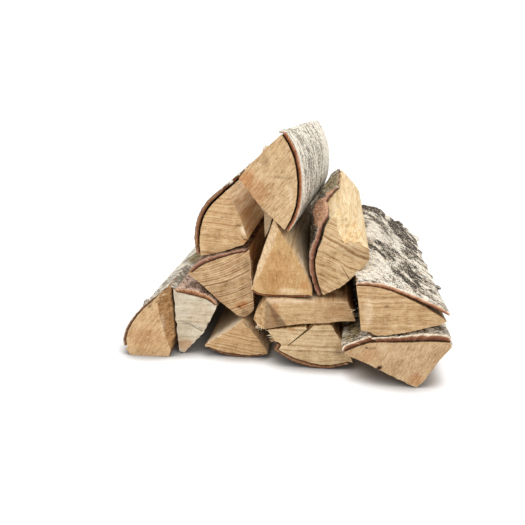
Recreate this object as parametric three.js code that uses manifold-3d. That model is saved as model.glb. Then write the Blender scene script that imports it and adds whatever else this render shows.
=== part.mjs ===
// A small stack of birch firewood: thirteen split logs piled in four courses.
// Millimetres, +Z up. The logs lie along Y, with the sawn ends that face the viewer towards -Y.
import * as THREE from 'three';
import { mergeVertices } from 'three/addons/utils/BufferGeometryUtils.js';
import Module from 'manifold-3d';

const wasm = await Module();
wasm.setup();

// Driving dimensions
const LOG_LENGTH = 300;
const SPANS = 6; // lengthwise steps of a log
const RIM_STEPS = 8; // steps round the bark side of a log
const CHIP_REACH = 40; // how far a chip's cutter stands out past the sawn end
const CHIP_WIDTH = 80; // how far it reaches across, past the broken edge
const SEAT_GAP = 0.8; // left between a log and the notch that it lies in

const FRESH_WOOD = { color: 0xd9b47c, roughness: 0.8, metalness: 0 };
const PALE_WOOD = { color: 0xe4c48e, roughness: 0.8, metalness: 0 };
const BROWN_WOOD = { color: 0xc99a5f, roughness: 0.85, metalness: 0 };
const GREY_WOOD = { color: 0xb9ad97, roughness: 0.9, metalness: 0 };
const WHITE_BARK = { color: 0xd8d2c4, roughness: 0.85, metalness: 0 };
const DARK_BARK = { color: 0x6b5a4c, roughness: 0.9, metalness: 0 };
const CREAM_BARK = { color: 0xe6ddcb, roughness: 0.85, metalness: 0 };

// Each log's section is given at its front end, as [x, z] points in the pile.
// rim: points on the round side of the wood, under the bark.
// split: corners of the faces left by the axe, from the rim's end back to its start.
// bark: thickness at even steps along the rim; barkEnd: where on the rim it stops, if short of 1.
// gap: how far loose bark stands off the wood. seat: the log that lies in a notch of this one.
// back: how the far end differs: moved, turned in degrees about a point, resized, or cut anew.
// bow: how far the middle of the log bends sideways and up. slant: skew of the front sawn end.
// swell: a bulge about a point, as wide as given, that grows and fades from ring to ring as in rise.
const LOGS = [
  {
    name: 'left_foot_log',
    finish: FRESH_WOOD,
    front: 1,
    rim: [[-173.5, 6], [-174.8, 20], [-168, 36], [-155.5, 52.3], [-137.6, 67.5], [-122, 79.3]],
    split: [[-122, 66], [-120, 40], [-118.4, 22], [-124.5, 0], [-170.5, 0]],
    bark: [2.4, 2.6, 2.6, 2.8, 3.2, 3.2],
    back: { move: [-1, 0], size: 0.97, about: [-140, 0] },
    chips: [
      {
        // the right-hand corner of the end is broken away
        near: [[-128.5, 92], [-135, 64], [-131.5, 42], [-127, 26], [-121, 6], [-119, -8]],
        far: [[-108, 92], [-114, 64], [-111.5, 42], [-107, 26], [-102, 6], [-100, -8]],
        side: [1, 0],
        depth: 24,
      },
    ],
  },
  {
    name: 'grey_log',
    finish: GREY_WOOD,
    front: 13,
    length: 288,
    rim: [[-119.8, 72.8], [-106.4, 71.2], [-92.8, 68.6], [-81.5, 65], [-70.8, 57.8]],
    split: [
      [-72.5, 53], [-79, 40], [-88, 25], [-102, 9], [-110, 0.3], [-115.4, 3], [-116.2, 14], [-117.4, 28],
      [-118.2, 40], [-119.2, 60],
    ],
    bark: [4.5, 6.5, 6.8, 5.5, 2.5],
    back: { size: 0.97, about: [-108, 0] },
  },
  {
    name: 'wedge_log',
    finish: PALE_WOOD,
    front: 9,
    rim: [[-14, 8], [-30, 3.9], [-47, 3.3], [-66, 7], [-84, 14]],
    split: [[-62, 29.5], [-41, 44], [-33, 35], [-24, 24], [-16, 13]],
    bark: [3, 3, 3, 3, 3],
    back: { turn: 2, size: 0.98, about: [-45, 0] },
  },
  {
    name: 'cracked_log',
    finish: FRESH_WOOD,
    front: -10,
    rim: [[81, 12], [62, 6.2], [43, 5], [21, 11.5], [-1, 25]],
    split: [[-6, 33], [-11, 43], [5, 45], [26, 48], [47, 51], [57, 52], [62, 44], [69, 33], [77, 20]],
    bark: [3.5, 4.5, 4.7, 6, 6.5],
    back: { move: [0, 0], size: 0.985, about: [43, 0] },
    chips: [
      {
        // a drying crack, open at the top of the end and closing along the log
        near: [[36, 56], [24, 38.5], [13.5, 27], [27, 38], [40.5, 56]],
        far: [[37.5, 56], [31, 46], [27, 41], [32, 46], [39, 56]],
        closed: true,
        depth: 130,
      },
    ],
  },
  {
    name: 'right_foot_log',
    finish: FRESH_WOOD,
    front: -43,
    length: 310,
    rim: [[71, 35.2], [86, 42.8], [101, 47.6], [128, 48.5], [152, 50.8], [176, 51]],
    split: [
      [178, 47], [166, 30], [157, 15], [151, 5], [146, 0.2], [138, 3], [117, 13], [97, 23], [76, 31.5],
    ],
    bark: [5.5, 5.5, 5.5, 6.8, 8.2, 6.5],
    gap: [1, 0.8, 0.8, 0.8, 0.9, 0.8],
    barkFinish: WHITE_BARK,
    back: { move: [1, 0], size: 1, about: [146, 0] },
  },
  {
    name: 'slab_log',
    finish: PALE_WOOD,
    front: -10,
    split: [
      [-13, 77], [13, 77.9], [45, 76.8], [74, 77.6], [77, 70], [81, 62], [83, 57], [66, 56], [51, 53],
      [35, 52], [13, 49], [-3, 46], [-16, 43], [-22, 45], [-28, 49], [-26, 58], [-20, 67],
    ],
    back: { move: [-1, 0], size: 0.98, about: [30, 60] },
    chips: [
      {
        // the left corner of the end is split off at a slant
        near: [[-12, 86], [-13, 77], [-12.5, 60], [-14.5, 43], [-15, 34]],
        far: [[-25, 86], [-26, 77], [-30, 58], [-33, 43], [-34, 34]],
        side: [-1, 0],
        depth: 15,
      },
    ],
  },
  {
    name: 'left_shoulder_log',
    finish: FRESH_WOOD,
    front: 18,
    length: 290,
    rim: [[-101, 92], [-89.6, 102], [-76, 110.3], [-61.3, 115.3], [-48, 119.5], [-34, 121]],
    split: [
      [-33, 111], [-32.5, 96], [-31, 79], [-29.5, 61], [-29.5, 54], [-34, 49.5], [-40, 45.8], [-48, 46.8],
      [-57, 54.5], [-68, 63], [-77, 71], [-87, 81],
    ],
    bark: [5, 6.6, 5, 3.4, 3.1, 3.3],
    back: { move: [-1, 0.5], size: 0.98, about: [-50, 60] },
  },
  {
    name: 'middle_log',
    finish: BROWN_WOOD,
    front: -4,
    rim: [[-29, 87.5], [-20, 82.4], [2, 81.4], [23, 82.4], [36, 83.6]],
    split: [[34.5, 90.4], [26, 111.4], [18, 124.4], [8, 139.4], [-6, 163.4], [-18, 129.4], [-24, 109.4]],
    bark: [2.8, 2.8, 2.8, 2.8, 2.8],
    back: { size: 0.97, about: [2, 80] },
    chips: [
      {
        // the left edge of the end is split off at a slant
        near: [[4, 166], [-1, 152], [-7, 131.5], [-17.7, 107], [-28.5, 87], [-33, 78]],
        far: [[-11, 166], [-16, 152], [-22, 131.5], [-32.7, 107], [-43.5, 87], [-48, 78]],
        side: [-1, 0],
        depth: 17,
      },
    ],
  },
  {
    name: 'torn_log',
    finish: PALE_WOOD,
    front: -4,
    length: 312,
    slant: -0.38,
    rim: [[65, 172.6], [50.5, 162], [46.5, 144.5], [38.5, 122], [39.5, 102], [47, 79.6]],
    split: [
      [55, 84.4], [65, 91.6], [75, 101], [80.3, 107.6], [86, 114], [92.3, 122], [94.7, 128], [92.8, 139],
      [83.3, 153.7], [72.7, 165.4],
    ],
    bark: [4.5, 4, 4.5, 5.4, 5.6, 5],
    gap: [0.8, 1.4, 1.7, 1.2, 0.8, 0.6],
    // a branch grew out here, so the log swells to the left behind its end
    swell: { about: [42, 154], width: 17, move: [-15, 4], rise: [0, 0.8, 1, 0.55, 0.2, 0, 0] },
    barkFinish: DARK_BARK,
    back: {
      rim: [[63.5, 172.8], [50.5, 162.3], [45, 145.5], [39, 122], [41, 102], [47, 80]],
      split: [
        [53, 89], [60, 99.5], [67, 111], [72, 120], [78, 130], [86, 137], [92, 140], [90, 145],
        [83, 154], [74, 163],
      ],
    },
    chips: [
      {
        // fibres torn out of the upper part of the end
        near: [[44, 184], [56, 167], [60, 152], [67, 143.5], [76, 146.5], [85, 146], [93, 139], [104, 128]],
        far: [[64, 191], [71, 177], [76, 171], [80.5, 167], [85, 162], [90, 154], [97, 142], [108, 130]],
        side: [0, 1],
        depth: 46,
      },
    ],
  },
  {
    name: 'right_shoulder_log',
    finish: FRESH_WOOD,
    front: -45,
    length: 305,
    rim: [[80.5, 107.5], [99, 106.8], [118, 102], [148, 88], [170.5, 74]],
    split: [[163, 70], [146, 65], [130, 59.8], [111, 56.2], [102, 56.2], [95, 60], [87, 60.5], [83, 92]],
    bow: [-2.5, 0],
    bark: [3.2, 4.2, 3.6, 4, 3.6],
    barkEnd: 0.95,
    gap: [0.8, 0.8, 0.8, 1.4, 4.5],
    barkFinish: WHITE_BARK,
    seat: 'torn_log',
    back: {
      gap: [0.8, 0.8, 0.8, 0.8, 1],
      rim: [[86, 125], [104, 127], [124, 113], [147, 97], [170, 78]],
      split: [[160, 68], [146, 62], [130, 59], [113, 57], [100, 58], [93, 68], [88, 78], [85, 105]],
    },
  },
  {
    name: 'upper_left_log',
    finish: PALE_WOOD,
    front: 25,
    length: 305,
    rim: [[-61, 186], [-79, 168.5], [-87.5, 151.5], [-91, 131.5], [-90, 113.6]],
    split: [
      [-80, 115], [-68, 118.2], [-56.8, 121.6], [-50, 124.6], [-41, 128.2], [-36.5, 132.8], [-39.5, 142.5], [-45, 158.5],
      [-53, 174.5],
    ],
    bark: [3.8, 4, 4.2, 4.2, 3],
    gap: [2, 2.4, 2.4, 2, 0.8],
    barkFinish: CREAM_BARK,
    back: { move: [8, 5], size: 0.98, about: [-65, 122] },
  },
  {
    name: 'hidden_log',
    finish: PALE_WOOD,
    front: 45,
    length: 255,
    split: [
      [-20.4, 131.5], [-16.2, 139.3], [-14, 146.2], [-12.3, 152.5], [-11, 160], [-14.8, 168.6],
      [-28.5, 187], [-34, 180], [-26, 168], [-21.2, 159], [-21, 145],
    ],
    back: { move: [2, 4], size: 0.86, about: [-16, 160] },
  },
  {
    name: 'top_log',
    finish: FRESH_WOOD,
    front: -6,
    rim: [[2, 250.3], [13.5, 230], [18.5, 201], [15.7, 173], [6, 152.6]],
    split: [[-1.8, 159.8], [-22, 180.4], [-42, 205.8], [-28, 222], [-5, 244]],
    bark: [3.2, 3.4, 3.4, 3.4, 3.2],
    gap: [1.6, 1.8, 1.8, 1.8, 1.6],
    barkFinish: CREAM_BARK,
    back: { move: [21, -9], size: 1.03, about: [-4, 200] },
  },
];

// Value at u, from 0 to 1, along a list of values given at even steps
function along(values, u) {
  const place = u * (values.length - 1);
  const step = Math.min(Math.floor(place), values.length - 2);
  return THREE.MathUtils.lerp(values[step], values[step + 1], place - step);
}

// The rim curve, or the curve that lies a given distance outside it
function rimCurve(rim, middle, offset, finish = 1) {
  const curve = new THREE.SplineCurve(rim.map(([x, z]) => new THREE.Vector2(x, z)));
  const points = [];
  for (let i = 0; i <= RIM_STEPS; i += 1) {
    const u = (finish * i) / RIM_STEPS;
    const point = curve.getPointAt(u);
    const tangent = curve.getTangentAt(u);
    const outward = new THREE.Vector2(tangent.y, -tangent.x);
    if (outward.dot(point.clone().sub(middle)) < 0) outward.negate();
    points.push(point.addScaledVector(outward, offset(u)));
  }
  return points;
}

function middleOf(corners) {
  const sum = new THREE.Vector2();
  for (const [x, z] of corners) sum.add(new THREE.Vector2(x, z));
  return sum.divideScalar(corners.length);
}

// Outlines of the log at one end: the wood, with any bark that is fast, and the loose bark
function outlines(log, end, grow = 0) {
  const rim = end.rim ?? log.rim;
  const split = end.split ?? log.split;
  const middle = middleOf(rim ? [...rim, ...split] : split);
  const corners = split.map(([x, z]) => {
    const corner = new THREE.Vector2(x, z);
    return corner.addScaledVector(corner.clone().sub(middle).normalize(), grow);
  });
  if (!rim) return { wood: corners, bark: null };
  const surface = rimCurve(rim, middle, () => grow);
  if (!log.gap) {
    const outside = rimCurve(rim, middle, (u) => grow + along(log.bark, u));
    return { wood: [surface[0], ...outside, surface.at(-1), ...corners], bark: null };
  }
  const gap = end.gap ?? log.gap;
  const inside = rimCurve(rim, middle, (u) => along(gap, u), log.barkEnd);
  const outside = rimCurve(rim, middle, (u) => along(gap, u) + along(log.bark, u), log.barkEnd);
  return { wood: [...surface, ...corners], bark: [...inside, ...outside.reverse()] };
}

// The far end's outline after it is resized, turned and moved
function placed(outline, back) {
  const about = new THREE.Vector2(...(back.about ?? [0, 0]));
  const move = new THREE.Vector2(...(back.move ?? [0, 0]));
  const turn = THREE.MathUtils.degToRad(back.turn ?? 0);
  const size = back.size ?? 1;
  return outline.map((point) => {
    const spot = point.clone().sub(about).multiplyScalar(size).add(about);
    return spot.rotateAround(about, turn).add(move);
  });
}

// Closed body through rings of points, with flat ends
function loft(rings) {
  const count = rings[0].length;
  const positions = rings.flat().flatMap((point) => [point.x, point.y, point.z]);
  const triangles = [];
  for (let ring = 0; ring < rings.length - 1; ring += 1) {
    for (let i = 0; i < count; i += 1) {
      const a = ring * count + i;
      const b = ring * count + ((i + 1) % count);
      triangles.push([a, b, b + count], [a, b + count, a + count]);
    }
  }
  for (const [ring, flip] of [[0, false], [rings.length - 1, true]]) {
    const flat = rings[ring].map((point) => new THREE.Vector2(point.x, point.z));
    const forward = THREE.ShapeUtils.isClockWise(flat) === false;
    for (const face of THREE.ShapeUtils.triangulateShape(flat, [])) {
      const [a, b, c] = face.map((i) => i + ring * count);
      triangles.push(flip === forward ? [a, b, c] : [a, c, b]);
    }
  }
  const geometry = new THREE.BufferGeometry();
  geometry.setAttribute('position', new THREE.Float32BufferAttribute(positions, 3));
  geometry.setIndex(triangles.flat());
  return facingOut(geometry);
}

// The geometry with all its faces turned round if they point in
function facingOut(geometry) {
  const position = geometry.getAttribute('position');
  const index = geometry.getIndex();
  const corner = [0, 1, 2].map(() => new THREE.Vector3());
  let volume = 0;
  for (let i = 0; i < index.count; i += 3) {
    corner.forEach((point, k) => point.fromBufferAttribute(position, index.getX(i + k)));
    volume += corner[0].dot(corner[1].clone().cross(corner[2]));
  }
  if (volume < 0) {
    for (let i = 0; i < index.count; i += 3) {
      const second = index.getX(i + 1);
      index.setX(i + 1, index.getX(i + 2));
      index.setX(i + 2, second);
    }
  }
  return geometry;
}

function toSolid(geometry) {
  const merged = mergeVertices(geometry);
  const vertProperties = new Float32Array(merged.getAttribute('position').array);
  const triVerts = new Uint32Array(merged.getIndex().array);
  return new wasm.Manifold(new wasm.Mesh({ numProp: 3, vertProperties, triVerts }));
}

function toGeometry(solid) {
  const mesh = solid.getMesh();
  const geometry = new THREE.BufferGeometry();
  geometry.setAttribute('position', new THREE.Float32BufferAttribute(mesh.vertProperties, 3));
  geometry.setIndex([...mesh.triVerts]);
  return geometry;
}

// How far a point is pushed out by the log's swelling at one ring
function swelling(log, spot, ring) {
  if (!log.swell) return new THREE.Vector2();
  const { about, width, move, rise } = log.swell;
  const away = spot.distanceTo(new THREE.Vector2(...about)) / width;
  const size = rise[ring] * Math.exp((-away * away) / 2);
  return new THREE.Vector2(...move).multiplyScalar(size);
}

// Rings of one outline along the log, bowed in the middle and skewed at the front
function rings(log, frontOutline, backOutline) {
  const bow = new THREE.Vector2(...(log.bow ?? [0, 0]));
  const length = log.length ?? LOG_LENGTH;
  const middle = middleOf(frontOutline.map((point) => point.toArray()));
  const all = [];
  for (let i = 0; i <= SPANS; i += 1) {
    const t = i / SPANS;
    const bend = bow.clone().multiplyScalar(Math.sin(Math.PI * t));
    all.push(frontOutline.map((point, k) => {
      const spot = point.clone().lerp(backOutline[k], t).add(bend);
      spot.add(swelling(log, spot, i));
      const skew = (log.slant ?? 0) * (spot.x - middle.x) * (1 - t);
      return new THREE.Vector3(spot.x, log.front + length * t + skew, spot.y);
    }));
  }
  return all;
}

// A cutter between two outlines, or between two edges closed on the side that is cut away
function chipSolid(chip, front) {
  const close = (edge) => {
    if (chip.closed) return edge;
    const reach = chip.side.map((value) => value * CHIP_WIDTH);
    const [first, last] = [edge[0], edge.at(-1)];
    return [...edge, [last[0] + reach[0], last[1] + reach[1]], [first[0] + reach[0], first[1] + reach[1]]];
  };
  const near = close(chip.near);
  const far = close(chip.far);
  // the near outline lies on the sawn end, so the cutter is carried on in front of it
  const start = near.map(([x, z], k) => {
    const run = CHIP_REACH / chip.depth;
    return new THREE.Vector3(x - (far[k][0] - x) * run, front - CHIP_REACH, z - (far[k][1] - z) * run);
  });
  const finish = far.map(([x, z]) => new THREE.Vector3(x, front + chip.depth, z));
  return toSolid(loft([start, finish]));
}

// The wood of a log grown all round, to cut the notch that it lies in
function seatMould(log) {
  const front = outlines(log, {}, SEAT_GAP).wood;
  const back = outlines(log, log.back, SEAT_GAP).wood;
  const longer = { ...log, front: log.front - SEAT_GAP, length: log.length + 2 * SEAT_GAP };
  return toSolid(loft(rings(longer, front, back)));
}

const pile = new THREE.Group();
const solids = {};

for (const log of LOGS) {
  const front = outlines(log, {});
  const back = outlines(log, log.back);
  let wood = toSolid(loft(rings(log, front.wood, placed(back.wood, log.back))));
  for (const chip of log.chips ?? []) wood = wood.subtract(chipSolid(chip, log.front));
  let bark = front.bark && toSolid(loft(rings(log, front.bark, placed(back.bark, log.back))));
  if (log.seat) {
    const mould = seatMould(LOGS.find((other) => other.name === log.seat));
    wood = wood.subtract(mould);
    bark = bark.subtract(mould);
  }
  solids[log.name] = { log, wood, bark };
}

for (const [name, { log, wood, bark }] of Object.entries(solids)) {
  const woodMesh = new THREE.Mesh(toGeometry(wood), new THREE.MeshStandardMaterial(log.finish));
  woodMesh.name = name;
  pile.add(woodMesh);
  if (bark) {
    const barkMesh = new THREE.Mesh(toGeometry(bark), new THREE.MeshStandardMaterial(log.barkFinish));
    barkMesh.name = name.replace('_log', '_bark');
    pile.add(barkMesh);
  }
}

// The origin is under the middle of the stack
const bounds = new THREE.Box3().setFromObject(pile);
const centre = bounds.getCenter(new THREE.Vector3());
pile.position.set(-centre.x, -centre.y, -bounds.min.z);
pile.updateMatrixWorld(true);

export default pile;
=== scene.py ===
"""Looks of a loose stack of split birch firewood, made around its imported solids.

Lengths are in millimetres until a mesh is made. The logs lie along Y, and their seen ends face -Y.
Places on a log's end are (x, z) on a drawing of the whole stack, and depths are from that end.
"""

import math

import bmesh
import bpy
import numpy as np
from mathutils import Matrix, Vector
from mathutils.geometry import delaunay_2d_cdt


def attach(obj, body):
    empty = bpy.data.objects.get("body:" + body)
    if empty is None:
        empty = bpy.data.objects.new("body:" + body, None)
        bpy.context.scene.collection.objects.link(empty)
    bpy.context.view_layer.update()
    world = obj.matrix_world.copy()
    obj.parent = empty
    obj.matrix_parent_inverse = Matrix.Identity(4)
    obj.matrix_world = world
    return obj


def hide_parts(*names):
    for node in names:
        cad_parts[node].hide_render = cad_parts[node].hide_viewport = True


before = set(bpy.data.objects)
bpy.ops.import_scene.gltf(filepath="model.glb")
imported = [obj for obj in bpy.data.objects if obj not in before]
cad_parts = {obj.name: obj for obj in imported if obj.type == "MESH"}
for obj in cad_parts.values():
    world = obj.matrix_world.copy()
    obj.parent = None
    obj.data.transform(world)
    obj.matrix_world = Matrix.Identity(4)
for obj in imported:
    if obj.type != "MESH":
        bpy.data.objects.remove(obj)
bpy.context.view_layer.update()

MM = 0.001

# Mesh steps
SIDE_STEP = 1.35  # round the wood of a log
BARK_STEP = 1.2  # round its bark
LONG_STEP = 3.6  # along the wood, in its middle
BARK_LONG_STEP = 2.5
FINE_STEP = 1.6  # along both, near the front end
FINE_RUN, SLANTED_FINE_RUN = 22, 48  # how far from it the steps are fine
FRONT_STEPS = (0, 0.5, 1.2, 2.4)  # the first places, from the front end
BACK_STEPS, BACK_RUN = (0, 0.8, 2.0, 4.0, 7.0), 9  # the last ones, from the back
END_STEP = 1.25  # across a sawn end
FAR_END_STEP = 2.2  # across a sawn end at the back
BARK_LAYERS = 4  # divisions through the bark
FEWEST_COLUMNS = 8  # points round a part of the bark, at least
ARC_POINTS = 60  # places at which the bark's thickness is read round a log
ROUND_POINTS, FINE_ROUND_POINTS = 360, 3000  # directions in which a section is measured
CORNER_POINTS = 101  # directions in which a corner is looked for
INSET = 0.02  # how far inside a solid's ends its sections are read
CORNER_INSET = 0.015  # how far inside its corners fast bark begins, in radians
WORN_RUN = 7  # how far from both ends of a log its bark is pushed back where it is worn

# Sawn ends, in shares of the step
ROW_STEP = 0.87  # between rows of points
JITTER, JITTER_SIZE = 0.22, (0.7, 1, 0.7)  # how far points are moved, and the noise's size in mm
OFF_CRACK, OFF_RIM = 0.75, 0.55  # how far points stay from a crack and from the rim
CRACK_STEP = 0.7
LIPS = (-1.2, -0.5, 0, 0.5, 1.2)  # lines of points along a crack, in halves of its width
CRACK_TAPER = 0.35  # width of a crack where it begins, as a share of its full width
CRACK_WALL = (1.15, 0.4)  # where a crack begins and is at full depth, in halves of its width

# Centre lines run through two sections, at these shares of the length
FIRST_SECTION, MIDDLE_SECTION, LAST_SECTION = 0.2, 0.4, 0.9
JOIN_WITHIN = 0.02  # points closer than this become one
ROUNDING = 1e-6
SHARP_ANGLE = 48  # edges sharper than this aren't smoothed, in degrees

# Where the drawing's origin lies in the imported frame: places below are measured from it
DRAWN_SHIFT = -0.724
DRAWN_BACK = -142.5

# Camera, worked out from the edges of the logs in the photo
CAMERA_PLACE = (59.98 + DRAWN_SHIFT, -792.5, 303.0)
CAMERA_TURN = 6.81
CAMERA_DIP = 16.0
LENS = 43.886
SENSOR = 36.0

# The torn log's front end was sawn aslant: where it would be if it were square, and its slope
SLANT_MIDDLE, SLANT_FRONT, SLANT_BACK, SLANT = 64.18 + DRAWN_SHIFT, -146.5, 165.5, -0.38

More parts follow.
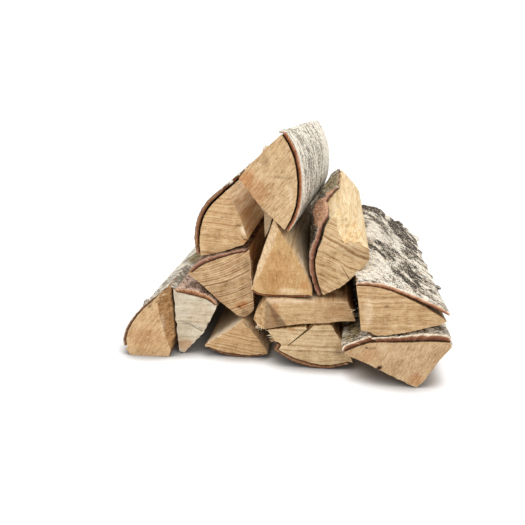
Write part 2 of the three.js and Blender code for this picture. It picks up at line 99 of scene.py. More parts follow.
# Each log, by the name of its solid. A place is (x, z) on the front end, or (x, depth, z).
# rim: where fast bark starts, a point half way, and where it ends. bark: its thickness along the
# way. gap: between it and the wood. corner_span: how far from the rim's ends, in radians, the
# corners are looked for.
# bark_node: the solid of loose bark. bark_parts: for each part, the shares of the way round where
# it starts and ends, and how far both edges lift. peel: width worn off the first edge, and the
# depths where that is full and where it ends.
# style, edge: kinds of bark and of its broken edge. flaps: how far the long edges go past the
# solid's, and the depth where they begin to. knobs: place, size and height of lumps on the bark.
# rings: the point that the growth lines curve round. line_size: the distance between them.
# warp: how much they wave. lines, saw: strength of the growth lines, and angle and strength of
# the saw's texture.
# end, split: pale and dark colours of the sawn ends and of the split faces.
# rag, torn: roughness of the split faces at the front end, and depth of what is torn out there.
# marks: patches of colour, each a kind, place, size, turn in degrees, and strength. side_marks:
# the same for the sides alone. patches: kind, outline and strength on the front end. Some dark
# marks and patches are painted shade, and some pale marks painted light, as noted at each log.
# cracks: width, depth and points of drying cracks in the front end.
# slanted: the front end was sawn aslant.
LOGS = {
    "left_foot_log": dict(
        rim=((-173.5, 6), (-155.5, 52.3), (-122, 79.3)), bark=(2.4, 2.4, 2.4, 2.8, 3.6, 4.0), style="cream",
        edge="thin", gap=0.45,
        rings=(-20, -60), line_size=3.0, lines=0.3, saw=(52, 0.5),
        end=("#CFAD82", "#B48E61"), split=("#B78D5E", "#8A6238"),
        marks=(
            ("warm", (-150, 0, 22), (40, 8, 26), 0, 0.25), ("pale", (-127, 0, 52), (9, 8, 34), -8, 0.4),
            ("dark", (-144, 0, 60), (7, 6, 4), 40, 0.5), ("moss", (-124, 150, 80), (22, 80, 16), 0, 1.0),
            ("dark", (-120, 150, 80), (12, 60, 14), 0, 1.0), ("dark", (-118, 50, 80), (12, 70, 14), 0, 0.6),
            ("dark", (-145, 3, 67), (11, 12, 9), 0, 1.0),
        ),
        cracks=((1.5, 5, ((-136, 65.4), (-132, 68.2), (-127.5, 71))),),
        knobs=(((-147, 4, 65.5), 4, 2.6), ((-140, 5, 73), 3.5, 3), ((-153.2, 13.6, 60.1), 5.5, 3.5)),
        flaps=(9, 0, 12),
    ),
    "grey_log": dict(
        rim=((-119.8, 72.8), (-92.8, 68.6), (-70.8, 57.8)), bark=(2.2, 4.2, 5.6, 5.6, 4),
        style="grey", edge="tan",
        rings=(-100, -420), line_size=3.6, lines=0.35, saw=(4, 0.35), rag=1.8,
        end=("#D3C9B4", "#B9AC92"), split=("#B9A689", "#8A7658"), flaps=(0, 1, 0),
        marks=(
            ("warm", (-108, 0, 11), (17, 8, 18), 0, 0.75), ("dark", (-98, 0, 34.5), (30, 5, 2.6), -17, 0.3),
            ("dark", (-108, 0, 51), (8, 4, 3), 0, 0.2), ("warm", (-90, 0, 48), (26, 6, 26), 0, 0.22),
        ),
        cracks=((0.9, 1.5, ((-111, 36.5), (-104, 37), (-99.6, 34.7), (-94, 31), (-88, 28.6))),),
    ),
    "wedge_log": dict(
        rim=((-14, 8), (-47, 3.3), (-84, 14)), bark=3, style="dark", edge="dark",
        rings=(1, 324), line_size=1.9, lines=0.6, saw=(-8, 0.3),
        end=("#C7A376", "#AC8658"), split=("#FBE6C0", "#D6AE7B"),
        marks=(("dark", (-37, 0, 40), (11, 5, 2.6), -43, 0.5),),
        # Painted light and shade: the pale mark lightens the left split face, which lies in shade under the
        # logs above, and the dark marks paint the deep shade of the gap beside the right split face.
        side_marks=(
            ("pale", (-66, 30, 30), (60, 120, 40), 0, 1.0),
            ("dark", (-18, 66, 26), (50, 100, 64), 0, 0.75),
            ("dark", (-16, 160, 30), (60, 150, 70), 0, 0.75),
        ),
    ),
    "cracked_log": dict(
        rim=((81, 12), (43, 5), (-4, 29)), bark=4.6, style="dark", edge="double", corner_span=0.04,
        flaps=(-1, 0, 0),
        rings=(40, 330), line_size=3.4, lines=0.6, saw=(0, 0.35),
        end=("#CEB48C", "#B2946A"), split=("#C6A271", "#96703F"), rag=1.2,
        marks=(
            ("warm", (15.5, 0, 44), (9, 5, 4), 0, 0.6), ("dark", (24.5, 0, 19.5), (6, 4, 1.6), 0, 0.5),
            ("dark", (67, 0, 21), (14, 6, 8), 0, 0.3), ("dark", (-6, 4, 30), (7, 12, 22), 20, 0.5),
        ),
        cracks=((2.2, 9, ((11.5, 25.5), (24, 37), (33, 45.5), (38, 51))),),
    ),
    "right_foot_log": dict(
        bark_node="right_foot_bark", style="white", edge="cream_copper", flaps=(3, 3.2, 0),
        rings=(482, -143), line_size=3.6, lines=0.22, saw=(66, 0.45),
        end=("#C4A67F", "#A8865F"), split=("#C49E6C", "#94703F"),
        bark_parts=((0, 0.795, 0, -1.2), (0.822, 1, 2.4, 0.2)),
        marks=(
            ("warm", (96, 0, 33), (20, 5, 16), 30, 0.4), ("dark", (93.5, 0, 41.6), (4, 3, 2.4), 0, 0.7),
            ("dark", (100, 0, 41), (8, 3, 2), 10, 0.45), ("dark", (107, 0, 19.6), (7, 6, 4.6), 30, 1.0),
            ("warm", (145, 0, 9), (14, 5, 12), 0, 0.6), ("moss", (78, 28, 47), (24, 50, 12), 0, 0.8),
            ("dark", (90, 40, 50), (40, 60, 12), 0, 1.0), ("dark", (160, 22, 57), (26, 12, 10), 0, 0.8),
            ("dark", (125, 30, 56), (50, 40, 12), 0, 0.7),
        ),
    ),
    "slab_log": dict(
        rings=(30, -900), line_size=3.4, lines=0.2, saw=(0, 0.4),
        end=("#C8A77C", "#AD895E"), split=("#DDBE90", "#B08657"),
        # Painted shade: both dark patches darken the left facet of the front end, which faces away from the
        # light.
        patches=(
            ("dark", ((-13.2, 77.5), (-4.8, 67.5), (3.2, 58.1), (11.5, 46.5), (-1, 45)), 0.62),
            ("dark", ((-13.2, 77.5), (-4.8, 67.5), (3.2, 58.1), (11.5, 46.5), (-15, 43)), 0.42),
        ),
        # The warm marks at x -4 and -10 warm that painted shade. The pale and warm marks on the top face
        # (depth 60) are painted light on a face in shade under the logs above, and the thin pale mark along
        # the front top edge is a painted highlight.
        marks=(
            ("warm", (67, 0, 66), (20, 5, 12), 0, 0.3), ("warm", (-4, 0, 60), (10, 5, 34), 0, 0.4),
            ("pale", (30, 1, 77.5), (110, 3, 2), 0, 0.8), ("pale", (10, 60, 77), (90, 160, 8), 0, 0.6),
            ("warm", (10, 60, 77), (90, 160, 8), 0, 0.4), ("warm", (-10, 0, 52), (12, 5, 26), 0, 0.2),
        ),
    ),
    "left_shoulder_log": dict(
        rim=((-101, 92), (-61.3, 115.3), (-34, 121)), bark=(3, 3, 3.2, 4.6, 5.6, 4.6), style="brown",
        edge="pink", rings=(-112, 215), line_size=1.9, lines=1.0, saw=(22, 0.3), warp=0.5,
        end=("#CAA97E", "#A27D54"), split=("#B78C5D", "#845C38"),
        marks=(
            ("warm", (-43, 0, 60), (17, 5, 8), 20, 0.9), ("dark", (-46, 0, 57.4), (4, 3, 3), 0, 0.8),
            ("dark", (-40, 0, 49), (12, 5, 12), 0, 0.3), ("dark", (-38, 0, 107), (9, 4, 14), 0, 0.28),
            ("dark", (-57, 0, 84), (14, 5, 6), 20, 0.2),
        ),
        # Painted light: the pale side mark lightens the right split face, which lies in shade between the
        # logs.
        side_marks=(("pale", (-32, 6, 88), (8, 30, 50), 0, 0.9),),
    ),
    "middle_log": dict(
        rim=((-29, 87.5), (2, 81.4), (36, 83.6)), bark=1.7, style="dark", edge="rust",
        rings=(0, -500), line_size=4.0, lines=0.14, saw=(86, 0.4),
        end=("#CAA674", "#AF8753"), split=("#EDD2A7", "#C7A072"),
        # Painted light: the pale side mark lightens the right split face, which lies in shade beside the
        # torn log.
        side_marks=(("pale", (26, 80, 112), (24, 160, 60), 0, 1.0),),
        marks=(
            ("dark", (0.3, 0, 128), (2, 3, 7), 6, 0.4), ("warm", (-2, 0, 108), (34, 6, 50), 0, 0.35),
            ("warm", (28, 0, 93), (9, 4, 9), 0, 0.5), ("pale", (12, 0, 85), (24, 4, 8), 0, 0.35),
            ("dark", (12, 0, 127.6), (4, 3, 1.8), -45, 0.5),
            ("pale", (-18, 8, 120), (16, 14, 80), -16, 0.22),
        ),
    ),
    "torn_log": dict(
        bark_node="torn_bark", style="moss", edge="pink", slanted=True, peel=(9, 62, 150),
        rings=(203, 496), line_size=3.9, lines=1.0, saw=(-16, 0.4), warp=2.0, torn=1.6,
        end=("#D8BA8F", "#B59365"), split=("#F0DBB2", "#D9B986"),
        marks=(
            # Painted shade: the first dark mark darkens the front end where it bulges away from the light.
            ("dark", (79, -4, 132), (36, 24, 14), -12, 0.22), ("dark", (70, 24, 160), (5, 10, 2.5), 20, 0.5),
            ("dark", (82, 12, 146), (3, 6, 4), 0, 0.5), ("rust", (46, 30, 166), (32, 110, 40), 0, 1.0),
            ("rust", (53, 94, 176), (20, 60, 26), 0, 0.9), ("rust", (47, 0, 150), (11, 36, 50), -14, 1.0),
            ("dark", (34, 50, 150), (14, 130, 46), -8, 1.0), ("moss", (48, 200, 178), (40, 180, 26), 0, 0.9),
            ("dark", (42, 160, 172), (26, 160, 30), 0, 0.6),
        ),
        knobs=(
            ((40, 70, 172), 34, 1.4), ((28, 100, 159), 16, 1.6), ((31.5, 140, 159), 20, 2.2),
            ((34, 165, 157.5), 22, 2.9), ((38, 200, 157), 26, 4.0), ((41, 235, 157), 24, 3.6),
            ((42, 265, 155.6), 18, 2.3), ((41.5, 288, 154), 12, 1.3),
        ),
        cracks=((0.8, 3, ((65.8, 115.5), (71.3, 107), (75.7, 100.5))),),
    ),
    "right_shoulder_log": dict(
        bark_node="right_shoulder_bark", style="white", edge="thin_copper",
        bark_parts=((0, 1, 3.4, 0),),
        rings=(130, -700), line_size=3.4, lines=0.55, saw=(2, 0.4),
        end=("#C7A67A", "#AA865B"), split=("#C19B69", "#93703F"),
        marks=(
            ("dark", (111, 0, 87), (5, 4, 3), 0, 0.5), ("pale", (93, 0, 82), (10, 4, 30), 0, 0.3),
            ("dark", (116, 120, 113), (40, 70, 24), 0, 0.5), ("dark", (137, 60, 102), (34, 90, 20), 0, 0.5),
            ("dark", (148, 235, 98), (40, 170, 26), 0, 0.9), ("dark", (118, 235, 122), (28, 60, 24), 0, 0.4),
            ("dark", (146, 28, 95), (30, 14, 12), 0, 0.4), ("dark", (137, 85, 99), (9, 14, 12), 0, 0.8),
            ("clean", (103, 50, 115), (30, 90, 20), 0, 0.9),
            ("clean", (104, 180, 121), (22, 60, 20), 0, 0.8),
            ("clean", (137, 190, 106), (26, 60, 20), 0, 0.7),
            ("clean", (128, 15, 103), (24, 40, 20), 0, 0.6),
            ("dark", (162, 44, 91), (12, 12, 12), 0, 1.0), ("dark", (170.6, 78, 82.7), (9, 9, 9), 0, 1.0),
            ("dark", (168, 290, 88), (24, 50, 20), 0, 1.0),
            ("dark", (112, 290, 124), (80, 50, 16), 0, 1.0), ("dark", (137, 285, 107), (44, 80, 16), 0, 0.9),
        ),
        knobs=(
            ((122, 302, 121.2), 9, 2.5), ((134, 303, 114), 7, 2), ((146.9, 304, 104.8), 7, 3.5),
            ((158, 302, 97), 6, 2), ((171.4, 298, 84.6), 10, 4.5), ((169.8, 225, 83.6), 8, 2),
            ((169.5, 164, 83.6), 8, 2), ((169.5, 118, 84), 6, 1.6), ((170.6, 78, 82.7), 6, 4.5),
        ),
    ),
    "upper_left_log": dict(
        bark_node="upper_left_bark", style="papery", edge="brown",
        rings=(-20, 900), line_size=3.8, lines=0.7, saw=(-3, 0.35),
        end=("#D2B082", "#B58F60"), split=("#FFE8C2", "#DDB280"),
        marks=(
            ("pale", (-40, 0, 144), (9, 6, 12), 10, 0.9), ("warm", (-41.5, 0, 131.5), (11, 5, 5), 10, 0.6),
            ("dark", (-65, 0, 157.4), (3.6, 3, 2), 15, 0.7),
            ("dark", (-47.5, 0, 149.8), (5, 3, 1.6), 0, 0.5),
        ),
        cracks=((1.0, 3, ((-43.2, 136.4), (-41.3, 134), (-39.5, 133), (-37.7, 133.2))),),
    ),
    "hidden_log": dict(
        rings=(-30, -300), line_size=3.5, lines=0.2, saw=(80, 0.3),
        end=("#DCCBAA", "#BFA781"), split=("#D9C3A0", "#B08A5C"),
    ),
    "top_log": dict(
        bark_node="top_bark", style="papery", edge="copper",
        rings=(-318, 456), line_size=2.2, lines=0.35, saw=(50, 0.6),
        end=("#CFB086", "#B39066"), split=("#CCA673", "#9C7343"),
        marks=(
            ("warm", (-34, 0, 203), (15, 6, 26), -42, 0.8), ("warm", (-24, 0, 191), (30, 6, 26), -40, 0.5),
            ("dark", (3, 0, 207), (22, 4, 3), -2, 0.3), ("dark", (-15, 0, 224), (9, 4, 12), 0, 0.2),
            ("pale", (12, 0, 190), (4, 4, 16), 0, 0.4), ("dark", (26, 70, 205), (30, 62, 130), 0, 0.42),
            ("dark", (28, 105, 220), (20, 20, 70), 0, 0.4), ("clean", (34, 265, 215), (40, 60, 130), 0, 0.9),
            ("clean", (20, 10, 205), (20, 14, 120), 0, 0.9),
        ),
        flaps=(0, 4, 0),
    ),
}

# What a log has where its own entry says nothing
PLAIN = dict(
    bark_node=None, bark_parts=((0, 1, 0, 0),), corner_span=0.25, gap=0.7, flaps=(0, 0, 0), knobs=(),
    peel=None, slanted=False, warp=1, rag=0.5, torn=0, marks=(), side_marks=(), patches=(), cracks=(),
)

# Outside of each kind of bark. lumps, ridges and fine: heights of its relief. streak: the turn of
# its streaks. grain: their width and length. flake: the same for small marks. crack, dash: how
# dark its cracks and marks are.
BARKS = {
    "white": dict(
        lumps=1.0, ridges=0.4, fine=0.9, streak=25, grain=(3.0, 7), flake=(1.7, 2.3), crack=0.3,
        pale="#FFF8E8", mid="#BDA78A", dark="#2E241B", dash=1.0,
    ),
    "cream": dict(
        lumps=0.6, ridges=0.4, fine=0.3, streak=25, grain=(2.4, 10), flake=(1.7, 2.6), crack=0.15,
        pale="#F8F0E0", mid="#CFC1AB", dark="#44392D", dash=0.8,
    ),
    "papery": dict(
        lumps=0.6, ridges=0.4, fine=0.3, streak=88, grain=(3.2, 10), flake=(8, 2.8), crack=0.12,
        pale="#F8F0E0", mid="#D2C6B2", dark="#3E3227", dash=0.75,
    ),
    "grey": dict(
        lumps=0.5, ridges=0.5, fine=0.4, streak=20, grain=(2.8, 5), flake=(1.5, 4.5), crack=0.2,
        pale="#E6C8B2", mid="#B3917A", dark="#4A3427", dash=0.85,
    ),
    "brown": dict(
        lumps=0.6, ridges=0.6, fine=0.4, streak=20, grain=(2.4, 8), flake=(1.6, 3), crack=0.4,
        pale="#B79A84", mid="#8C6F5C", dark="#4A3626", dash=0.7,
    ),
    "dark": dict(
        lumps=0.7, ridges=0.6, fine=0.3, streak=20, grain=(2.4, 8), flake=(1.6, 3), crack=0.4,
        pale="#A98A70", mid="#7C604A", dark="#3E2D20", dash=0.7,
    ),
    "moss": dict(
        lumps=1.1, ridges=1.3, fine=0.6, streak=15, grain=(2.8, 6), flake=(1.8, 5), crack=0.6,
        pale="#DED2BD", mid="#988978", dark="#2A231D", dash=0.9,
    ),
}

# Broken edges and inside of the bark: outer layer, inner layers, and the skin next to the wood
BARK_EDGES = {
    "thin": ("#B49A80", "#7E5C40", "#42280F"),
    "tan": ("#D0A584", "#B07F57", "#5C3619"),
    "copper": ("#C99A7C", "#A46C47", "#4E2910"),
    "thin_copper": ("#EBCFB6", "#BE8E6C", "#5E3013"),
    "cream_copper": ("#E9D8C0", "#8C5B3C", "#2E170A"),
    "pink": ("#BC9680", "#9C6E56", "#38200F"),
    "brown": ("#7E6049", "#A27858", "#5E3A1C"),
    "rust": ("#6E4224", "#96603A", "#6A3B1A"),
    "dark": ("#6E5039", "#8A6242", "#4F331C"),
    "double": ("#5E4030", "#9C7450", "#4E2D14"),
}


# Relief and waves. For each noise that is added up: its height, its size across and along the
# log, its number, and how many octaves it has. Each noise of a log has a number of its own.
SPLIT_WAVES = ((0.8, 26, 150, 5, 2), (0.5, 6.5, 90, 7, 3), (0.18, 1.9, 30, 9, 1))
LEDGE_HEIGHT, LEDGE_NOISE, LEDGE_STEEP = 0.25, (11, 60, 11, 1), 5
SPLIT_DEPTH = 0.5  # how far split faces lie inside the solid
SMOOTH_RUN, END_SMOOTH = 5, 0.55  # near the ends their relief is less
TORN_RUN = (30, 60)  # depths where what is torn out gets less, and where it ends
GROWTH_WAVES, GROWTH_RUN = ((1.6, 26, 1, 0, 1), (0.7, 9, 1, 3, 1)), (1, 0.02, 1)
EDGE_WAVES = ((1.1, 1, 22, 41, 1), (0.7, 1, 5, 42, 1))  # of the long edges of the bark
EDGE_BACK = 0.8  # how far the long edges lie inside the solid's
SAW_DEPTH = 0.2  # how far sawn ends lie inside the solid
SAW_SCORES, SCORE_SIZE, SCORE_NUMBER = 0.22, (16, 1, 2.2), 21  # the saw's scores, along and across
SAW_ROUGHNESS, SAW_NOISE = 0.16, (6, 1, 23)
RAG_NOISE, TORN_NOISE = (3.4, 6, 13, 2), (5, 26, 15, 3)
MARK_WOBBLE, WOBBLE_NOISE = 0.3, (6, 26, 91, 2)
MARK_EDGE = (1.3, 0.6)  # where a mark begins and is full, in halves of its size
PATCH_EDGE, PATCH_RUN = (1.8, -1.6), (3, 1)  # the same across a patch's outline, and by depth
# Painted shade: the hollows of the split faces are darkened, from where the relief is this low to where it
# is full, by this much.
SHADED_HOLLOWS, HOLLOW_SHADE = (-0.9, -2.6), 0.5  # relief of the split faces that is shown darker
BARK_RUN = 2.5  # the relief of bark is less so close to its long edges
BARK_EDGE_RELIEF, BARK_EDGE_DROP = 0.4, 0.5  # how much of it is left there, and how much lower it is
THINNEST_BARK = 0.8
LUMP_NOISE = (20, 34, 71, 3)
KNOB_ROUGHNESS, KNOB_NOISE, KNOB_TOP = 0.5, (3, 3, 65, 2), 0.35  # a knob is full in its top part
WEAR_LEVEL, WEAR_NOISE = 0.25, (7, 40, 61, 3)  # wear of the bark's ends
NICKS = ((0.35, 1.4, 9, 63, 1),)  # fine nicks in them
BARK_DEPTH = 0.5  # how far they lie inside the solid
FLAP_START = (-1, 6)  # where a flap begins and is full, from its depth
SPLIT_GRAIN, FINE_GRAIN = (1.6, 1.4), (0.6, 0.3)  # size of fissures and grit, by the bark's grain
UNDER_LOOSE_BARK = 0.1  # how far wood under loose bark lies inside the solid
FISSURE_WIDTH = (0.16, 0.02)  # where the noise of the bark's fissures begins and is full


# Noise


def lattice(cell, seed):
    """Pseudo-random values from 0 to 1 at whole-numbered cells."""
    mask = np.uint64(0xFFFFFFFF)
    x, y, z = (cell[..., k].astype(np.int64).astype(np.uint64) & mask for k in range(3))
    mixed = (x * np.uint64(374761393) + y * np.uint64(668265263)) & mask
    mixed = (mixed + z * np.uint64(2246822519) + np.uint64(seed * 3266489917 % 2**32)) & mask
    mixed = ((mixed ^ (mixed >> np.uint64(15))) * np.uint64(2246822519)) & mask
    mixed = ((mixed ^ (mixed >> np.uint64(13))) * np.uint64(3266489917)) & mask
    return ((mixed ^ (mixed >> np.uint64(16))) & mask).astype(float) / 0xFFFFFFFF


def noise(points, scale, seed=0):
    """Smooth noise from -1 to 1. scale gives the size of its lumps along x, y and z."""
    spot = np.asarray(points, float) / np.asarray(scale, float)
    low = np.floor(spot)
    part = spot - low
    part = part * part * (3 - 2 * part)
    total = 0
    for number in range(8):
        offset = np.array([number & 1, number >> 1 & 1, number >> 2 & 1])
        weight = np.prod(np.where(offset, part, 1 - part), axis=-1)
        total = total + weight * lattice(low + offset, seed)
    return 2 * total - 1


def rough_noise(points, scale, seed=0, octaves=3):
    """Noise with finer noise added, each octave half as large."""
    scale = np.asarray(scale, float)
    total, size = 0, 1.0
    for octave in range(octaves):
        total = total + size * noise(points, scale * 0.5**octave, seed + 17 * octave)
        size *= 0.5
    return total / (2 - 2 * size)


def smooth(value, low, high):
    """0 at low, 1 at high, with an even rise between. low may be the larger."""
    share = np.clip((value - low) / (high - low), 0, 1)
    return share * share * (3 - 2 * share)


# Reading the solids


def cross(a, b):
    return a[..., 0] * b[..., 1] - a[..., 1] * b[..., 0]


def directions(angles):
    """Directions in the (x, z) plane, as a list of points."""
    return np.stack([np.cos(angles), np.sin(angles)], 1)


def turned(x, z, degrees):
    """Coordinates along axes that are turned."""
    c, s = math.cos(math.radians(degrees)), math.sin(math.radians(degrees))
    return x * c + z * s, z * c - x * s


def inside(triangles, places):
    """Places along a solid, kept a little inside its ends."""
    y = triangles[..., 1]
    return np.clip(places, y.min() + INSET, y.max() - INSET)


def packed(places):
    """Places on the drawing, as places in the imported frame."""
    return np.array(places, float) + (DRAWN_SHIFT, 0)


def round_arc(rows, shares):
    """Values at shares of the way round the bark. Both have a row for each place along it."""
    steps = np.linspace(0, 1, ARC_POINTS)
    return np.array([np.interp(share, steps, row) for share, row in zip(shares, rows)])


def slant_share(points):
    """How far back the torn log's front end lies at each point, as a share of the log's length."""
    return SLANT * (points[..., 0] - SLANT_MIDDLE) / (SLANT_BACK - SLANT_FRONT)


def squared(points):
    """Points of the torn log, moved so that its slanting front end is square."""
    share = slant_share(points)
    points = points.copy()
    points[..., 1] = (points[..., 1] - share * SLANT_BACK) / (1 - share)
    return points


def slanted(points):
    """The same points moved back."""
    points = points.copy()
    points[..., 1] += slant_share(points) * (SLANT_BACK - points[..., 1])
    return points


def solid_triangles(node):
    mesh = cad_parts[node].data
    mesh.calc_loop_triangles()
    points = np.array([v.co for v in mesh.vertices], float) / MM
    return points[np.array([t.vertices for t in mesh.loop_triangles])]


def cut(triangles, y):
    """Both ends of the lines where a solid crosses the plane at y, as (x, z) points."""
    above = triangles[:, :, 1] > y
    crossed = triangles[above.any(1) & ~above.all(1)]
    above = crossed[:, :, 1] > y
    lone = np.where(above.sum(1) == 1, above.argmax(1), (~above).argmax(1))
    rows = np.arange(len(crossed))
    start = crossed[rows, lone]
    ends = []
    for step in (1, 2):
        other = crossed[rows, (lone + step) % 3]
        share = (y - start[:, 1]) / (other[:, 1] - start[:, 1])
        ends.append((start + (other - start) * share[:, None])[:, [0, 2]])
    return ends


def reach(lines, centre, angles):
    """Nearest and farthest distance from the centre to the lines, for each angle."""
    start, stop = lines[0] - centre, lines[1] - centre
    run = stop - start
    way = directions(angles)[:, None]
    with np.errstate(divide="ignore", invalid="ignore"):
        turn = cross(way, run)
        distance = cross(start, run) / turn
        share = cross(start, way) / turn
    hit = (share > -ROUNDING) & (share < 1 + ROUNDING) & (distance > 0)
    far = np.where(hit, distance, 0).max(1)
    near = np.where(hit, distance, np.inf).min(1)
    return near, far


def fill_gaps(row):
    """Replaces values that aren't known by their neighbours' along the row."""
    known = np.isfinite(row) & (row > 0)
    places = np.arange(len(row))
    return np.interp(places, places[known], row[known])


def beyond(points, outline):
    """How far points lie outside a convex outline, below 0 inside it."""
    run = np.roll(outline, -1, 0) - outline
    turn = np.sign(cross(outline, np.roll(outline, -1, 0)).sum())
    outward = turn * np.stack([run[:, 1], -run[:, 0]], 1) / np.linalg.norm(run, axis=1)[:, None]
    return ((points[:, None] - outline) * outward).sum(2).max(1)


def corner(lines, centre, angle, span):
    """The angle of the corner that lies near the given one: the farthest point that way."""
    around = angle + np.linspace(-span, span, CORNER_POINTS)
    far = reach(lines, centre, around)[1]
    return around[np.argmax(far * np.cos(around - angle))]


def section_centre(triangles, y):
    """Centre of area of the section at y."""
    lines = cut(triangles, y)
    centre = (lines[0].min(0) + lines[0].max(0)) / 2
    angles = np.linspace(-np.pi, np.pi, ROUND_POINTS, endpoint=False)
    for _ in range(3):
        far = reach(lines, centre, angles)[1]
        edge = directions(angles) * far[:, None]
        area = cross(edge, np.roll(edge, -1, 0))
        centre = centre + ((edge + np.roll(edge, -1, 0)) * area[:, None]).sum(0) / (3 * area.sum())
    return centre


def stations(front, back, fine_run, step):
    """Places along the log: close together near both sawn ends and wider between."""
    near = np.concatenate([FRONT_STEPS[:-1], np.arange(FRONT_STEPS[-1], fine_run, FINE_STEP)])
    count = int((back - front - fine_run - BACK_RUN) / step)
    middle = np.linspace(front + fine_run, back - BACK_RUN, count)
    return np.concatenate([front + near, middle, (back - np.array(BACK_STEPS))[::-1]])


# Building a log

SPLIT, SAWN, BARK, BARK_EDGE = range(4)
# Kinds of mark: dark also carries painted shade and pale painted light, beside real stains and bleached
# wood.
KINDS = ("dark", "warm", "pale", "rust", "moss", "clean")


class Surface:
    """Points, faces and what the materials read, gathered before they become one mesh."""

    def __init__(self):
        self.points, self.space, self.values = [], [], []
        self.faces, self.finish = [], []
        self.count = 0

    def add(self, points, space, **values):
        """Adds points, with a number for each of them under each name. Returns the first's place."""
        self.points.append(points)
        self.space.append(space)
        self.values.append({key: np.broadcast_to(value, len(points)) for key, value in values.items()})
        first = self.count
        self.count += len(points)
        return first

    def join(self, faces, finish):
        faces = np.asarray(faces)
        self.faces.append(faces)
        self.finish.append(np.full(len(faces), finish))

    def mesh(self, name):
        """One mesh of all that was added, in metres."""
        points = np.concatenate(self.points) * MM
        sizes = np.concatenate([np.full(len(g), g.shape[1]) for g in self.faces])
        corners = np.concatenate([g.ravel() for g in self.faces])
        mesh = bpy.data.meshes.new(name)
        mesh.vertices.add(len(points))
        mesh.vertices.foreach_set("co", points.astype(np.float32).ravel())
        mesh.loops.add(len(corners))
        mesh.loops.foreach_set("vertex_index", corners.astype(np.int32))
        mesh.polygons.add(len(sizes))
        starts = np.concatenate([[0], np.cumsum(sizes)[:-1]])
        mesh.polygons.foreach_set("loop_start", starts.astype(np.int32))
        mesh.polygons.foreach_set("material_index", np.concatenate(self.finish).astype(np.int32))
        mesh.update(calc_edges=True)
        mesh.validate()
        space = mesh.attributes.new("log_space", "FLOAT_VECTOR", "POINT")
        space.data.foreach_set("vector", np.concatenate(self.space).astype(np.float32).ravel())
        for key in ("growth", "depth", *KINDS):
            values = [v.get(key, np.zeros(len(p))) for v, p in zip(self.values, self.points)]
            attribute = mesh.attributes.new(key, "FLOAT", "POINT")
            attribute.data.foreach_set("value", np.concatenate(values).astype(np.float32))
        return mesh


def half_width(width, share):
    """Half the width of a crack at a share of the way along it."""
    return width / 2 * (CRACK_TAPER + (1 - CRACK_TAPER) * share)


def grid_faces(rows, columns, closed=False):
    """Quads between neighbouring rows of a grid of points."""
    row, column = np.meshgrid(np.arange(rows - 1), np.arange(columns - (not closed)), indexing="ij")
    nearby = (column + 1) % columns
    a, b = row * columns + column, row * columns + nearby
    return np.stack([a, b, b + columns, a + columns], axis=-1).reshape(-1, 4)


